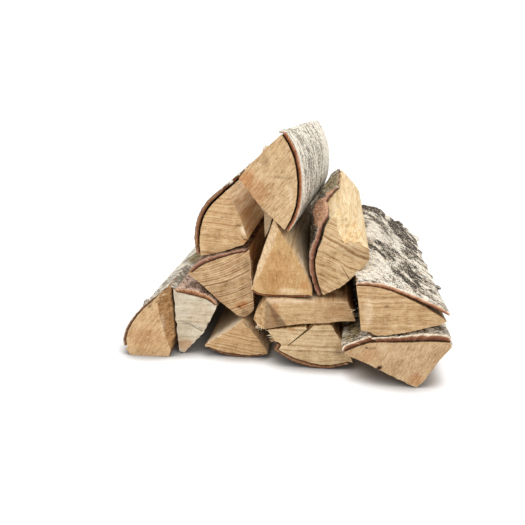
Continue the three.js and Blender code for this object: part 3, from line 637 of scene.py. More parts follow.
class Log:
    """One log read from its solid: its centre line, and its radius round each station."""

    def __init__(self, name, looks, seed):
        self.name, self.looks, self.seed = name, looks, seed
        self.square = squared if looks["slanted"] else np.copy
        self.unsquare = slanted if looks["slanted"] else np.copy
        self.solid = self.square(solid_triangles(name))
        self.front, self.back = self.solid[..., 1].min(), self.solid[..., 1].max()
        self.drawn_origin = np.array([DRAWN_SHIFT, self.front, 0])
        self.fine_run = SLANTED_FINE_RUN if looks["slanted"] else FINE_RUN
        length = self.back - self.front
        first = section_centre(self.solid, self.front + FIRST_SECTION * length)
        last = section_centre(self.solid, self.front + LAST_SECTION * length)
        self.drift = (last - first) / ((LAST_SECTION - FIRST_SECTION) * length)
        self.origin = first - self.drift * FIRST_SECTION * length
        self.y = stations(self.front, self.back, self.fine_run, LONG_STEP)
        self.angles = self.even_angles()
        self.radius = self.read()
        self.bark_node = looks["bark_node"]
        self.has_bark = bool(self.bark_node or "rim" in looks)
        if self.has_bark:
            self.bark_range()

    def centre(self, y):
        return self.origin + np.multiply.outer(y - self.front, self.drift)

    def even_angles(self):
        """Angles whose points are evenly spaced round the middle section."""
        y = self.front + MIDDLE_SECTION * (self.back - self.front)
        angles = np.linspace(-np.pi, np.pi, FINE_ROUND_POINTS, endpoint=False)
        far = reach(cut(self.solid, y), self.centre(y), angles)[1]
        edge = directions(angles) * far[:, None]
        step = np.linalg.norm(np.roll(edge, -1, 0) - edge, axis=1)
        travelled = np.concatenate([[0], np.cumsum(step)])
        count = int(travelled[-1] / SIDE_STEP)
        return np.interp(np.linspace(0, travelled[-1], count, endpoint=False), travelled[:-1], angles)

    def read(self):
        """Radius of the solid at each place along the log and each angle."""
        rows = []
        for y in inside(self.solid, self.y):
            far = reach(cut(self.solid, y), self.centre(y), self.angles)[1]
            rows.append(fill_gaps(far))
        return np.array(rows)

    def bark_range(self):
        """Finds between which angles the bark lies at each place, and its inner and outer surfaces."""
        self.bark_y = stations(self.front, self.back, self.fine_run, BARK_LONG_STEP)
        solid = self.square(solid_triangles(self.bark_node)) if self.bark_node else self.solid
        starts, stops, inner, outer = [], [], [], []
        if not self.bark_node:
            spots = packed(self.looks["rim"]) - self.origin
            rim = np.arctan2(spots[:, 1], spots[:, 0])
            self.bark_middle = rim[1]
            given = np.atleast_1d(self.looks["bark"])
            thickness = np.interp(np.linspace(0, 1, ARC_POINTS), np.linspace(0, 1, len(given)), given)
        for y in inside(solid, self.bark_y):
            lines, centre = cut(solid, y), self.centre(y)
            if self.bark_node:
                spots = lines[0] - centre
                around = np.arctan2(spots[:, 1], spots[:, 0])
                if not starts:
                    self.bark_middle = np.arctan2(np.sin(around).mean(), np.cos(around).mean())
                inset = 0.0
            else:
                span = self.looks["corner_span"]
                around = np.array([corner(lines, centre, rim[k], span) for k in (0, 2)])
                inset = CORNER_INSET
            spread = np.angle(np.exp(1j * (around - self.bark_middle)))
            starts.append(spread.min() + inset)
            stops.append(spread.max() - inset)
            arc = self.bark_middle + np.linspace(starts[-1], stops[-1], ARC_POINTS)
            near, far = reach(lines, centre, arc)
            outer.append(fill_gaps(far))
            inner.append(fill_gaps(near) if self.bark_node else outer[-1] - thickness)
        self.bark_start, self.bark_stop = np.array(starts), np.array(stops)
        self.bark_inner, self.bark_outer = np.array(inner), np.array(outer)
        self.bark_size = np.median(self.bark_outer)
        if self.looks["peel"]:
            width, full, gone = self.looks["peel"]
            bare = width * smooth(self.bark_y - self.front, gone, full) / self.bark_size
            share = (bare / (self.bark_stop - self.bark_start))[:, None]
            self.bark_start = self.bark_start + bare
            kept = share + (1 - share) * np.linspace(0, 1, ARC_POINTS)
            self.bark_inner = round_arc(self.bark_inner, kept)
            self.bark_outer = round_arc(self.bark_outer, kept)

    def bark_share(self, angles, y):
        """How far round the bark each angle lies: 0 at its start, 1 at its end."""
        spread = np.angle(np.exp(1j * (angles - self.bark_middle)))
        start = np.interp(y, self.bark_y, self.bark_start)
        stop = np.interp(y, self.bark_y, self.bark_stop)
        return (spread - start) / (stop - start)

    def place(self, angle, radius, y):
        """Points at an angle and radius round the centre line, as a list."""
        centre = self.centre(y)
        x = centre[..., 0] + np.cos(angle) * radius
        z = centre[..., 1] + np.sin(angle) * radius
        return np.stack([x, y, z], axis=-1).reshape(-1, 3)

    def space(self, points):
        """Place in the log: across, along from the front, and up from the centre line."""
        centre = self.centre(points[:, 1])
        across, up = points[:, 0] - centre[:, 0], points[:, 2] - centre[:, 1]
        return np.stack([across, points[:, 1] - self.front, up], axis=1)

    def rough(self, points, across, along, number, octaves=3):
        """This log's own noise, with lumps of a size across the log and one along it."""
        return rough_noise(points, (across, along, across), self.seed + number, octaves)

    def waves(self, points, table, shift=0):
        """The noises of a table, added up. shift changes their numbers."""
        total = 0
        for height, across, along, number, octaves in table:
            total = total + height * self.rough(points, across, along, number + shift, octaves)
        return total

    def growth(self, points):
        """Distance from the middle of the growth rings, gently waved."""
        middle = self.looks["rings"]
        away = np.hypot(points[:, 0] - DRAWN_SHIFT - middle[0], points[:, 2] - middle[1])
        return away + self.looks["warp"] * self.waves(points * GROWTH_RUN, GROWTH_WAVES)

    def marks(self, points, side=False):
        """How strongly each kind of mark colours each point."""
        total = {kind: np.zeros(len(points)) for kind in KINDS}
        wobble = MARK_WOBBLE * self.rough(points, *WOBBLE_NOISE)
        listed = self.looks["marks"] + (self.looks["side_marks"] if side else ())
        for kind, spot, size, turn, strength in listed:
            away = points - (self.drawn_origin + spot)
            across, up = turned(away[:, 0], away[:, 2], turn)
            distance = 2 * np.sqrt(
                (across / size[0]) ** 2 + (away[:, 1] / size[1]) ** 2 + (up / size[2]) ** 2
            )
            total[kind] = np.maximum(total[kind], strength * smooth(distance + wobble, *MARK_EDGE))
        for kind, outline, strength in self.looks["patches"]:
            outside = beyond(points[:, [0, 2]], packed(outline))
            near_end = smooth(points[:, 1] - self.front, *PATCH_RUN)
            edge = smooth(outside + wobble, *PATCH_EDGE)
            total[kind] = np.maximum(total[kind], strength * near_end * edge)
        return total

    def split_relief(self, points):
        """How far the split faces stand in or out: long fibres, torn ledges and slow waves."""
        ledge = np.clip(self.rough(points, *LEDGE_NOISE) * LEDGE_STEEP, -1, 1)
        relief = self.waves(points, SPLIT_WAVES) + LEDGE_HEIGHT * ledge - SPLIT_DEPTH
        depth = points[:, 1] - self.front
        at_end = np.exp(-depth / SMOOTH_RUN)
        rag = self.looks["rag"] * self.rough(points, *RAG_NOISE)
        torn = self.looks["torn"] * (1 - smooth(depth, *TORN_RUN))
        torn_out = torn * np.abs(self.rough(points, *TORN_NOISE))
        return relief * (1 - END_SMOOTH * at_end) + rag * at_end - torn_out

    def wood(self, surface):
        """The wood: its sides, and both sawn ends."""
        y, angles = np.meshgrid(self.y, self.angles, indexing="ij")
        relief = self.split_relief(self.place(angles, self.radius, y)).reshape(y.shape)
        radius = self.radius + relief
        if self.has_bark:
            share = self.bark_share(angles, y)
            covered = (share > 0) & (share < 1)
            if self.bark_node:
                under = self.radius - UNDER_LOOSE_BARK
            else:
                columns = [np.interp(self.y, self.bark_y, column) for column in self.bark_inner.T]
                under = round_arc(np.array(columns).T, share) - self.looks["gap"]
            radius = np.where(covered, under, radius)
            relief = np.where(covered, 0, relief)
        rows, columns = radius.shape
        points = self.place(angles, radius, y)
        points[:columns, 1] += self.sawn_relief(points[:columns])
        points[-columns:, 1] -= self.sawn_relief(points[-columns:])
        values = self.marks(points, True)
        # painted shade in the hollows of the relief
        hollow_shade = HOLLOW_SHADE * smooth(relief.ravel(), *SHADED_HOLLOWS)
        values["dark"] = np.maximum(values["dark"], hollow_shade)
        space = self.space(points)
        first = surface.add(self.unsquare(points), space, growth=self.growth(points), **values)
        surface.join(grid_faces(rows, columns, True) + first, SPLIT)
        self.skin = self.unsquare(points)
        self.edge = self.skin[:columns]
        self.sawn_end(surface, radius[0], self.y[0], 1, END_STEP)
        self.sawn_end(surface, radius[-1], self.y[-1], -1, FAR_END_STEP)

    def sawn_relief(self, points):
        """How deep the sawn face lies at each place: saw marks and roughness."""
        along, across = turned(points[:, 0], points[:, 2], self.looks["saw"][0])
        flat = np.stack([along, 0 * along, across], axis=1)
        scores = rough_noise(flat, SCORE_SIZE, self.seed + SCORE_NUMBER, 2)
        return SAW_DEPTH + SAW_SCORES * scores + SAW_ROUGHNESS * self.rough(flat, *SAW_NOISE)

    def sawn_end(self, surface, radius, y, inward, step):
        """A sawn end: an even sheet of small triangles inside the outline of the side's last row."""
        rim = directions(self.angles) * radius[:, None]
        low, high = rim.min(0), rim.max(0)
        xs = np.arange(low[0], high[0], step)
        zs = np.arange(low[1], high[1], step * ROW_STEP)
        x, z = np.meshgrid(xs, zs)
        x = x + (np.arange(len(zs)) % 2)[:, None] * step / 2
        inner = np.stack([x.ravel(), z.ravel()], 1)
        jitter = [noise(np.insert(inner, 1, 5 * k, 1), JITTER_SIZE, 31 + k) for k in (0, 1)]
        inner = inner + JITTER * step * np.stack(jitter, 1)
        centre = self.centre(y)
        cracks = self.looks["cracks"] if inward > 0 else ()
        lips = [self.crack_lips(crack, step) - centre for crack in cracks]
        for lip in lips:
            away = np.linalg.norm(inner[:, None] - lip[None], axis=2).min(1)
            inner = inner[away > OFF_CRACK * step]
        inner = np.concatenate([inner, *lips])
        around, away = np.arctan2(inner[:, 1], inner[:, 0]), np.hypot(inner[:, 0], inner[:, 1])
        edge = np.interp(around, self.angles, radius, period=2 * np.pi)
        inner = inner[away < edge - OFF_RIM * step]
        spots = [Vector(p) for p in np.concatenate([rim, inner])]
        made = delaunay_2d_cdt(spots, [], [list(range(len(rim)))], 1, 1e-5)
        flat = np.array([p[:] for p in made[0]]) + centre
        faces = np.array([f for f in made[2] if len(f) == 3])
        points = np.stack([flat[:, 0], np.full(len(flat), y), flat[:, 1]], 1)
        values = self.marks(points)
        space, growth = self.space(points), self.growth(points)
        points[:, 1] += inward * self.sawn_relief(points)
        for width, depth, line in cracks:
            away, share = self.from_line(flat, packed(line))
            half = half_width(width, share)
            sunk = smooth(away, *(half * wall for wall in CRACK_WALL))
            points[:, 1] += depth * sunk
            # painted shade: each crack is darkened as far as it is sunk
            values["dark"] = np.maximum(values["dark"], sunk)
        first = surface.add(self.unsquare(points), space, growth=growth, **values)
        surface.join(faces + first, SAWN)

    def crack_lips(self, crack, step):
        """Points along a crack's middle and both its lips."""
        width, _, line = crack
        line = packed(line)
        length = np.concatenate([[0], np.cumsum(np.linalg.norm(np.diff(line, axis=0), axis=1))])
        at = np.linspace(0, length[-1], int(length[-1] / (CRACK_STEP * step)) + 2)
        middle = np.stack([np.interp(at, length, line[:, k]) for k in (0, 1)], 1)
        way = np.gradient(middle, axis=0)
        side = np.stack([-way[:, 1], way[:, 0]], 1) / np.linalg.norm(way, axis=1)[:, None]
        half = half_width(width, at / length[-1])[:, None]
        return np.concatenate([middle + side * half * k for k in LIPS])

    def from_line(self, points, line):
        """Distance of each point from a line of points, and how far along the line it lies."""
        best, place = np.full(len(points), np.inf), np.zeros(len(points))
        for k in range(len(line) - 1):
            run = line[k + 1] - line[k]
            share = np.clip((points - line[k]) @ run / (run @ run), 0, 1)
            away = np.linalg.norm(points - line[k] - share[:, None] * run, axis=1)
            nearer = away < best
            best = np.where(nearer, away, best)
            place = np.where(nearer, (k + share) / (len(line) - 1), place)
        return best, place

    def bark(self, surface):
        for part in self.looks["bark_parts"]:
            self.bark_part(surface, *part)

    def bark_part(self, surface, begin, finish, lift_begin, lift_finish):
        """A shell of bark with ragged long edges and ends, in layers where it is broken."""
        y = self.bark_y
        whole = (self.bark_stop - self.bark_start)[:, None]
        arc_length = self.bark_size * np.median(whole) * (finish - begin)
        count = max(FEWEST_COLUMNS, int(arc_length / BARK_STEP))
        edge = np.stack([0 * y, y, 0 * y], 1)
        first_flap, last_flap, depth = self.looks["flaps"]
        loose = smooth(y - self.front - depth, *FLAP_START) if depth else 1
        # angles by which both long edges go past the solid's
        past = []
        for shift, flap in ((0, first_flap), (4, last_flap)):
            ragged = self.waves(edge, EDGE_WAVES, shift + int(50 * begin)) - EDGE_BACK
            past.append(((ragged + flap * loose) / self.bark_size)[:, None])
        start = begin - past[0] / whole
        stop = finish + past[1] / whole
        share = np.linspace(0, 1, count)[None]
        place_round = start + (stop - start) * share
        spread = self.bark_start[:, None] + whole * place_round
        clear = lift_begin * (1 - share) ** 3 + lift_finish * share**3
        inner = round_arc(self.bark_inner, place_round) + clear
        outer = round_arc(self.bark_outer, place_round) + clear
        angles = self.bark_middle + spread
        level = np.repeat(y[:, None], count, axis=1)
        around = spread * self.bark_size
        grain = self.bark_grain(around, level - self.front)
        relief, fissure = self.bark_relief(self.place(angles, outer, level), grain.reshape(-1, 3))
        relief, fissure = relief.reshape(outer.shape), fissure.reshape(outer.shape)
        fade = np.clip(np.minimum(share, 1 - share) * arc_length / BARK_RUN, 0, 1)
        outer = outer + relief * (BARK_EDGE_RELIEF + (1 - BARK_EDGE_RELIEF) * fade)
        outer = outer - BARK_EDGE_DROP * (1 - fade)
        outer = outer + self.knobs(self.place(angles, outer, level)).reshape(outer.shape)
        outer = np.maximum(outer, inner + THINNEST_BARK)

        def shell(rows, place, depth):
            """Adds points on some rows, at places round the bark and depths through it."""
            at = np.ix_(rows, place)
            radius = inner[at] + (outer - inner)[at] * depth
            depths = np.repeat(depth[None], len(rows), axis=0)
            return self.add_bark(surface, angles[at], radius, level[at], depths, grain[at], fissure[at])

        # columns: up the first edge, over the outside, down the second edge and back inside
        steps = np.linspace(0, 1, BARK_LAYERS + 1)
        columns = [(0, k) for k in steps[:-1]] + [(c, 1) for c in range(count)]
        columns += [(count - 1, k) for k in steps[-2::-1]] + [(c, 0) for c in range(count - 2, 0, -1)]
        place = np.array([c for c, _ in columns])
        depth = np.array([k for _, k in columns])
        number = np.arange(len(columns))
        on_outside = (number >= BARK_LAYERS) & (number < BARK_LAYERS + count - 1)
        faces = grid_faces(len(y), len(columns), True) + shell(range(len(y)), place, depth)
        outside = np.tile(on_outside, len(y) - 1)
        surface.join(faces[outside], BARK)
        surface.join(faces[~outside], BARK_EDGE)
        for row in (0, len(y) - 1):
            first = shell([row], np.repeat(np.arange(count), len(steps)), np.tile(steps, count))
            surface.join(grid_faces(count, len(steps)) + first, BARK_EDGE)

    def knobs(self, points):
        """Height of the lumps that stand out of the bark."""
        height = np.zeros(len(points))
        rough = 1 + KNOB_ROUGHNESS * self.rough(points, *KNOB_NOISE)
        for spot, size, tall in self.looks["knobs"]:
            away = np.linalg.norm(points - (self.drawn_origin + spot), axis=1)
            height = np.maximum(height, tall * smooth(away * rough, size, KNOB_TOP * size))
        return height

    def add_bark(self, surface, angles, radius, y, depth, grain, fissure):
        """Adds points of the bark, worn back at both ends of the log."""
        points = self.place(angles, radius, y)
        wear = np.clip(self.rough(points, *WEAR_NOISE) + WEAR_LEVEL, 0, 1)
        worn = wear + self.waves(points, NICKS) + BARK_DEPTH
        at_front = np.clip(1 - (y.ravel() - self.front) / WORN_RUN, 0, 1)
        at_back = np.clip(1 - (self.back - y.ravel()) / WORN_RUN, 0, 1)
        values = self.marks(points)
        points[:, 1] += worn * (at_front - at_back)
        values["growth"] = fissure.ravel()
        return surface.add(self.unsquare(points), grain.reshape(-1, 3), depth=depth.ravel(), **values)

    def bark_grain(self, around, along):
        """Coordinates on the bark: across its streaks, along them, and round the log."""
        across, streak = turned(around, along, -BARKS[self.looks["style"]]["streak"])
        return np.stack([across, streak, around], axis=-1)

    def bark_relief(self, points, grain):
        """Height of the bark's outside, and how deep each place lies in its fissures."""
        style = BARKS[self.looks["style"]]
        wide, long = style["grain"]
        flat = grain * [1, 1, 0]
        lumps = self.rough(points, *LUMP_NOISE)
        split, fine = (
            rough_noise(flat, (wide * by_width, long * by_length, 1), self.seed + number, 2)
            for (by_width, by_length), number in ((SPLIT_GRAIN, 73), (FINE_GRAIN, 79))
        )
        fissure = smooth(np.abs(split), *FISSURE_WIDTH)
        height = style["lumps"] * lumps - style["ridges"] * fissure + style["fine"] * fine
        return height, fissure


# Materials


def linear(code):
    """A web colour as linear red, green, blue and alpha."""
    parts = [int(code[k : k + 2], 16) / 255 for k in (1, 3, 5)]
    return [p / 12.92 if p <= 0.04045 else ((p + 0.055) / 1.055) ** 2.4 for p in parts] + [1]


class Nodes:
    """A tree of nodes. The inputs of a new node are given by name, with _ for a space."""

    def __init__(self, tree, family="ShaderNode"):
        self.tree, self.family = tree, family

    def node(self, kind, settings=None, **inputs):
        made = self.tree.nodes.new(self.family + kind)
        for key, value in (settings or {}).items():
            setattr(made, key, value)
        for key, value in inputs.items():
            self.feed(made.inputs[key.replace("_", " ")], value)
        return made

    def feed(self, socket, value):
        if isinstance(value, bpy.types.NodeSocket):
            self.tree.links.new(value, socket)
        else:
            socket.default_value = value


class Finish(Nodes):
    """A material made of nodes."""

    def __init__(self, name, roughness):
        self.material = bpy.data.materials.new(name)
        self.material.use_nodes = True
        super().__init__(self.material.node_tree)
        self.shader = self.tree.nodes["Principled BSDF"]
        self.set(Roughness=roughness, Specular_IOR_Level=0.2)

    def set(self, **inputs):
        for key, value in inputs.items():
            self.feed(self.shader.inputs[key.replace("_", " ")], value)

    def attribute(self, name):
        made = self.node("Attribute", {"attribute_name": name})
        return made.outputs["Vector" if name == "log_space" else "Fac"]

    def turned(self, vector, degrees):
        turn = (0, math.radians(degrees), 0)
        return self.node("Mapping", Vector=vector, Rotation=turn).outputs["Vector"]

    def noise(self, vector, scale, detail=3.0, roughness=0.55, distortion=0.0):
        """Noise whose lumps have the sizes in scale, in millimetres."""
        spot = self.node("Mapping", Vector=vector, Scale=[1 / s for s in scale]).outputs["Vector"]
        shape = dict(Scale=1.0, Detail=detail, Roughness=roughness, Distortion=distortion)
        return self.node("TexNoise", Vector=spot, **shape).outputs["Fac"]

    def line_noise(self, value, size, detail=3.0, roughness=0.6):
        """Noise along one number, for lines of uneven width."""
        shape = dict(Scale=1.0, Detail=detail, Roughness=roughness, W=self.times(value, 1 / size))
        return self.node("TexNoise", {"noise_dimensions": "1D"}, **shape).outputs["Fac"]

    def math(self, operation, a, b):
        made = self.node("Math", {"operation": operation})
        self.feed(made.inputs[0], a)
        self.feed(made.inputs[1], b)
        return made.outputs[0]

    def times(self, a, b):
        return self.math("MULTIPLY", a, b)

    def plus(self, a, b):
        return self.math("ADD", a, b)

    def minus(self, a, b):
        return self.math("SUBTRACT", a, b)

    def ramp(self, value, low, high, top=1.0):
        """0 below low, top above high, smooth between."""
        ends = dict(From_Min=low, From_Max=high, To_Max=top)
        made = self.node("MapRange", {"interpolation_type": "SMOOTHSTEP"}, Value=value, **ends)
        return made.outputs["Result"]

    def blend(self, factor, a, b, mode="MIX"):
        """Two colours mixed. Colours may be web codes."""
        made = self.node("Mix", {"data_type": "RGBA", "blend_type": mode})
        self.feed(made.inputs[0], factor)
        for socket, value in ((made.inputs[6], a), (made.inputs[7], b)):
            self.feed(socket, linear(value) if isinstance(value, str) else value)
        return made.outputs[2]

    def shade(self, factor, colour, tint):
        """The colour, multiplied by a tint as far as factor says."""
        return self.blend(factor, colour, self.blend(1.0, colour, tint, "MULTIPLY"))

    def layered(self, colour, layers):
        """A colour under layers, each with a way of mixing, a value, a ramp over it, and a tint."""
        for mix, value, ends, tint in layers:
            colour = mix(self.ramp(value, *ends), colour, tint)
        return colour

    def done(self, colour, height=None, distance=0, strength=1.0):
        """The material with its colour, and with a bump where it has a height."""
        self.set(Base_Color=colour)
        if height is not None:
            bump = self.node("Bump", Height=height, Distance=distance * MM, Strength=strength)
            self.set(Normal=bump.outputs["Normal"])
        return self.material


def wood_marks(made, colour):
    """Stains and bleached places, with painted shade in hollows, cracks and shaded faces, and painted light
    on some shaded faces.
    """
    colour = made.shade(made.times(made.attribute("warm"), 0.7), colour, "#DFA362")
    colour = made.blend(made.times(made.attribute("pale"), 0.75), colour, "#F6E4C6")
    return made.shade(made.attribute("dark"), colour, "#4A3018")


def sawn_finish(name, looks):
    """End grain: growth lines, the saw's scores, fine pores and slow stains."""
    made = Finish(name, 0.75)
    space, growth = made.attribute("log_space"), made.attribute("growth")
    ring = looks["lines"]
    angle, saw = looks["saw"]
    lines = made.line_noise(growth, looks["line_size"], 4.0, 0.7)
    broken = made.noise(space, (9, 9, 5), 3.0, 0.6)
    lines = made.plus(lines, made.times(made.minus(broken, 0.5), 0.35))
    scores = made.noise(made.turned(space, angle), (8, 8, 1.5), 4.0, 0.68, 0.3)
    cloud = made.noise(space, (20, 20, 17), 5.0, 0.62)
    pores = made.noise(space, (1.9, 1.9, 1.9), 3.0, 0.75)
    colour = made.blend(made.ramp(cloud, 0.3, 0.75), *looks["end"])
    colour = made.layered(colour, (
        (made.shade, lines, (0.47, 0.66, 0.8 * ring), "#A9855E"),
        (made.blend, lines, (0.5, 0.32, 0.3 * ring), "#F4DFBC"),
        (made.shade, scores, (0.5, 0.68, saw), "#A9855E"),
        (made.blend, scores, (0.48, 0.32, 0.6 * saw), "#F6E6C8"),
        (made.shade, pores, (0.52, 0.72, 0.45), "#9C7A54"),
        (made.blend, pores, (0.45, 0.3, 0.3), "#F6E6C8"),
    ))
    height = made.plus(made.times(scores, saw), made.times(pores, 0.8))
    height = made.minus(height, made.times(lines, ring))
    return made.done(wood_marks(made, colour), height, 0.5, 0.8)


def split_finish(name, looks):
    """Long grain: fibres and streaks along a face left by the axe."""
    made = Finish(name, 0.7)
    space = made.attribute("log_space")
    pale, dark = looks["split"]
    streaks = made.noise(space, (4.5, 100, 4.5), 4.0, 0.65)
    fibres = made.noise(space, (1.2, 30, 1.2), 3.0, 0.65)
    cloud = made.noise(space, (26, 60, 26), 3.0, 0.5)
    colour = made.layered(made.blend(made.ramp(streaks, 0.34, 0.66), pale, dark), (
        (made.blend, cloud, (0.45, 0.8, 0.4), dark),
        (made.shade, fibres, (0.45, 0.7, 0.5), "#A67B4F"),
        (made.blend, fibres, (0.47, 0.3, 0.3), "#F4DFBC"),
    ))
    return made.done(wood_marks(made, colour), fibres, 0.8, 0.8)


def bark_finish(name, style):
    """The bark's outside: papery patches, dark scars and rough places."""
    looks = BARKS[style]
    wide, long = looks["grain"]
    mid, dark = looks["mid"], looks["dark"]
    made = Finish(name, 0.78)
    space = made.attribute("log_space")
    # zone: how far a place is in a dark part of the bark, from 0 to 1
    zone = made.noise(space, (wide * 3.6, long * 4, 60), 3.0, 0.55)
    zone = made.plus(zone, made.times(made.attribute("dark"), 0.2))
    zone = made.ramp(made.minus(zone, made.times(made.attribute("clean"), 0.24)), 0.38, 0.7)
    bands = made.noise(space, (wide * 1.3, long * 3, 60), 3.0, 0.6)
    patches = made.noise(space, (wide * 1.5, long * 0.8, 40), 4.0, 0.65, 0.3)
    flakes = made.noise(space, (*looks["flake"], 20), 3.0, 0.72, 0.4)
    grit = made.noise(space, (1.2, 1.5, 9), 3.0, 0.75)
    # level: high where the bark has its dark marks
    level = made.plus(flakes, made.times(zone, 0.19))
    level = made.plus(level, made.times(made.ramp(bands, 0.35, 0.7), 0.12))
    colour = made.layered(looks["pale"], (
        (made.blend, made.plus(patches, made.times(zone, 0.16)), (0.5, 0.66, 0.8), mid),
        (made.blend, grit, (0.48, 0.62, 0.6), mid),
    ))
    crack = made.times(made.attribute("growth"), made.ramp(zone, 0.3, 0.9, looks["crack"]))
    colour = made.layered(made.blend(crack, colour, dark), (
        (made.blend, level, (0.64, 0.69, looks["dash"]), dark),
        (made.blend, grit, (0.42, 0.3, 0.5), looks["pale"]),
    ))
    rust = made.ramp(made.plus(made.attribute("rust"), made.times(patches, 0.6)), 0.75, 1.0)
    rusty = made.blend(made.ramp(grit, 0.4, 0.6), "#CC8C64", "#F4CEAB")
    rusty = made.blend(made.ramp(level, 0.64, 0.72, 0.55), rusty, "#6A4431")
    green = made.times(made.attribute("moss"), made.ramp(patches, 0.25, 0.5, 0.95))
    mossy = made.blend(made.ramp(flakes, 0.45, 0.6), "#A8966A", "#3A2E17")
    colour = made.blend(green, made.blend(rust, colour, rusty), mossy)
    height = made.minus(made.times(grit, 0.5), made.ramp(level, 0.5, 0.66))
    return made.done(colour, height, 0.9, 0.8)


def bark_edge_finish(name, codes):
    """The bark's broken edges and inside, in layers, dark next to the wood."""
    outer, inner, skin = codes
    made = Finish(name, 0.72)
    space, depth = made.attribute("log_space"), made.attribute("depth")
    wander = made.noise(space, (7, 14, 7), 3.0, 0.6)
    level = made.plus(depth, made.times(made.minus(wander, 0.5), 0.5))
    layers = made.line_noise(level, 0.22, 3.0, 0.6)
    specks = made.noise(space, (1.8, 2.4, 1.8), 3.0, 0.75)
    colour = made.layered(inner, (
        (made.shade, layers, (0.42, 0.6, 0.8), "#8E6446"),
        (made.blend, level, (0.62, 0.9), outer),
        (made.shade, specks, (0.48, 0.7, 0.65), "#7E5A40"),
        (made.blend, specks, (0.42, 0.28, 0.4), "#E6C4A2"),
        (made.blend, level, (0.32, 0.08), skin),
    ))
    return made.done(colour, layers, 0.6, 0.7)


EDGE_FINISHES = {kind: bark_edge_finish(f"{kind}_bark_edge", codes) for kind, codes in BARK_EDGES.items()}
BARK_FINISHES = {style: bark_finish(f"{style}_bark", style) for style in BARKS}


# Putting the logs together


def placed(name, data):
    """An object in the scene, with nothing set but its name."""
    made = bpy.data.objects.new(name, data)
    bpy.context.scene.collection.objects.link(made)
    return made


def merge_and_turn_out(mesh):
    """Joins points that meet, and turns all faces outwards."""
    work = bmesh.new()
    work.from_mesh(mesh)
    bmesh.ops.remove_doubles(work, verts=work.verts, dist=JOIN_WITHIN * MM)
    bmesh.ops.recalc_face_normals(work, faces=work.faces)
    work.to_mesh(mesh)
    work.free()


def finished(surface, node, log):
    """Makes the gathered surface an object that stands for a solid."""
    name = f"{node}_finish"
    mesh = surface.mesh(name)
    mesh.materials.append(split_finish(f"{log.name}_split_face", log.looks))
    mesh.materials.append(sawn_finish(f"{log.name}_sawn_end", log.looks))
    if log.has_bark:
        mesh.materials.append(BARK_FINISHES[log.looks["style"]])
        mesh.materials.append(EDGE_FINISHES[log.looks["edge"]])
    merge_and_turn_out(mesh)
    mesh.shade_smooth()
    mesh.set_sharp_from_angle(angle=math.radians(SHARP_ANGLE))
    made = placed(name, mesh)
    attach(made, "root")
    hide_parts(node)


FIRST_SEED, SEED_STEP = 11, 100  # each log's noises have seeds of their own
logs = {}
for number, (name, looks) in enumerate(LOGS.items()):
    log = logs[name] = Log(name, PLAIN | looks, FIRST_SEED + SEED_STEP * number)
    wood, shell = Surface(), Surface()
    log.wood(wood)
    if log.has_bark:
        log.bark(shell if log.bark_node else wood)
    finished(wood, name, log)
    if log.bark_node:
        finished(shell, log.bark_node, log)


# Splinters and fibres, mostly along the edges of the sawn ends

SPLINTER_SEED = 11
EDGE_SPLINTERS = 34  # on the front end of each log
EDGE_LENGTHS = (0.8, 2.2)
EDGE_ROOT = 0.3  # how far in from the edge they begin
EDGE_SPREAD, EDGE_FORWARD = 0.6, 0.5  # how much their directions differ, and lean to the front
TUFT_SCATTER = 0.5  # of the roots, as a share of a tuft's spread
TUFT_SPREAD = 0.4  # how much the directions in a tuft differ
TUFT_SHORTEST = 0.3  # as a share of its greatest length
SPLINTER_SIDES = 4
SPLINTER_TIP = 0.2  # width of the tip, as a share of the root's
SPLINTER_SLENDER, SPLINTER_THIN, SPLINTER_THICK = 0.07, 0.12, 0.45  # width by length, and its limits
SPLINTER_FLAT = 0.6  # thickness by width

# Tufts: the log they grow from, place in the drawing, spread, direction, greatest length, count
TUFTS = (
    ("slab_log", (60, 21, 77), (8, 9, 0.5), (0.3, -0.7, 0.9), 8, 26),
    ("slab_log", (79, -9, 68), (1.5, 1, 7), (0.9, -0.5, 0.1), 6, 10),
    ("slab_log", (-22, -8, 46), (4, 1, 3), (-0.5, -0.6, -0.6), 7, 18),
    ("cracked_log", (-7, -9, 30), (2, 1, 9), (-0.9, -0.5, -0.2), 5, 34),
    ("top_log", (-23, 26, 225), (1.2, 3, 1.2), (1.5, -0.3, 3.6), 14, 44),
    ("top_log", (-34, 12, 214), (5, 8, 6), (-0.6, -0.4, 0.7), 6, 16),
    ("middle_log", (8, -4, 150), (2, 2, 3), (0.5, -0.6, -0.6), 5, 8),
    ("left_foot_log", (-131, 3, 70), (5, 2, 2), (0.5, -0.7, 0.5), 7, 10),
    ("left_shoulder_log", (-32, 22, 108), (1, 3, 8), (0.7, -0.5, -0.3), 4, 16),
)


def splinter_spots():
    """Roots, directions and lengths of the splinters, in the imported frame."""
    chance = np.random.default_rng(SPLINTER_SEED)
    roots, ways, lengths = [], [], []
    for log in logs.values():
        pick = chance.integers(0, len(log.edge), EDGE_SPLINTERS)
        out = log.edge[pick] - log.edge.mean(0)
        out[:, 1] = 0
        out /= np.linalg.norm(out, axis=1)[:, None]
        roots.append(log.edge[pick] - EDGE_ROOT * out + (0, EDGE_ROOT, 0))
        ways.append(out + chance.normal(0, EDGE_SPREAD, out.shape) - (0, EDGE_FORWARD, 0))
        lengths.append(chance.uniform(*EDGE_LENGTHS, EDGE_SPLINTERS))
    for name, place, spread, way, longest, count in TUFTS:
        middle = np.array(place, float) + (DRAWN_SHIFT, DRAWN_BACK, 0)
        wanted = middle + chance.normal(0, TUFT_SCATTER, (count, 3)) * spread
        skin = logs[name].skin
        nearest = [np.linalg.norm(skin - spot, axis=1).argmin() for spot in wanted]
        roots.append(skin[nearest])
        ways.append(np.array(way) + chance.normal(0, TUFT_SPREAD, (count, 3)))
        lengths.append(chance.uniform(TUFT_SHORTEST, 1, count) * longest)
    return np.concatenate(roots), np.concatenate(ways), np.concatenate(lengths)


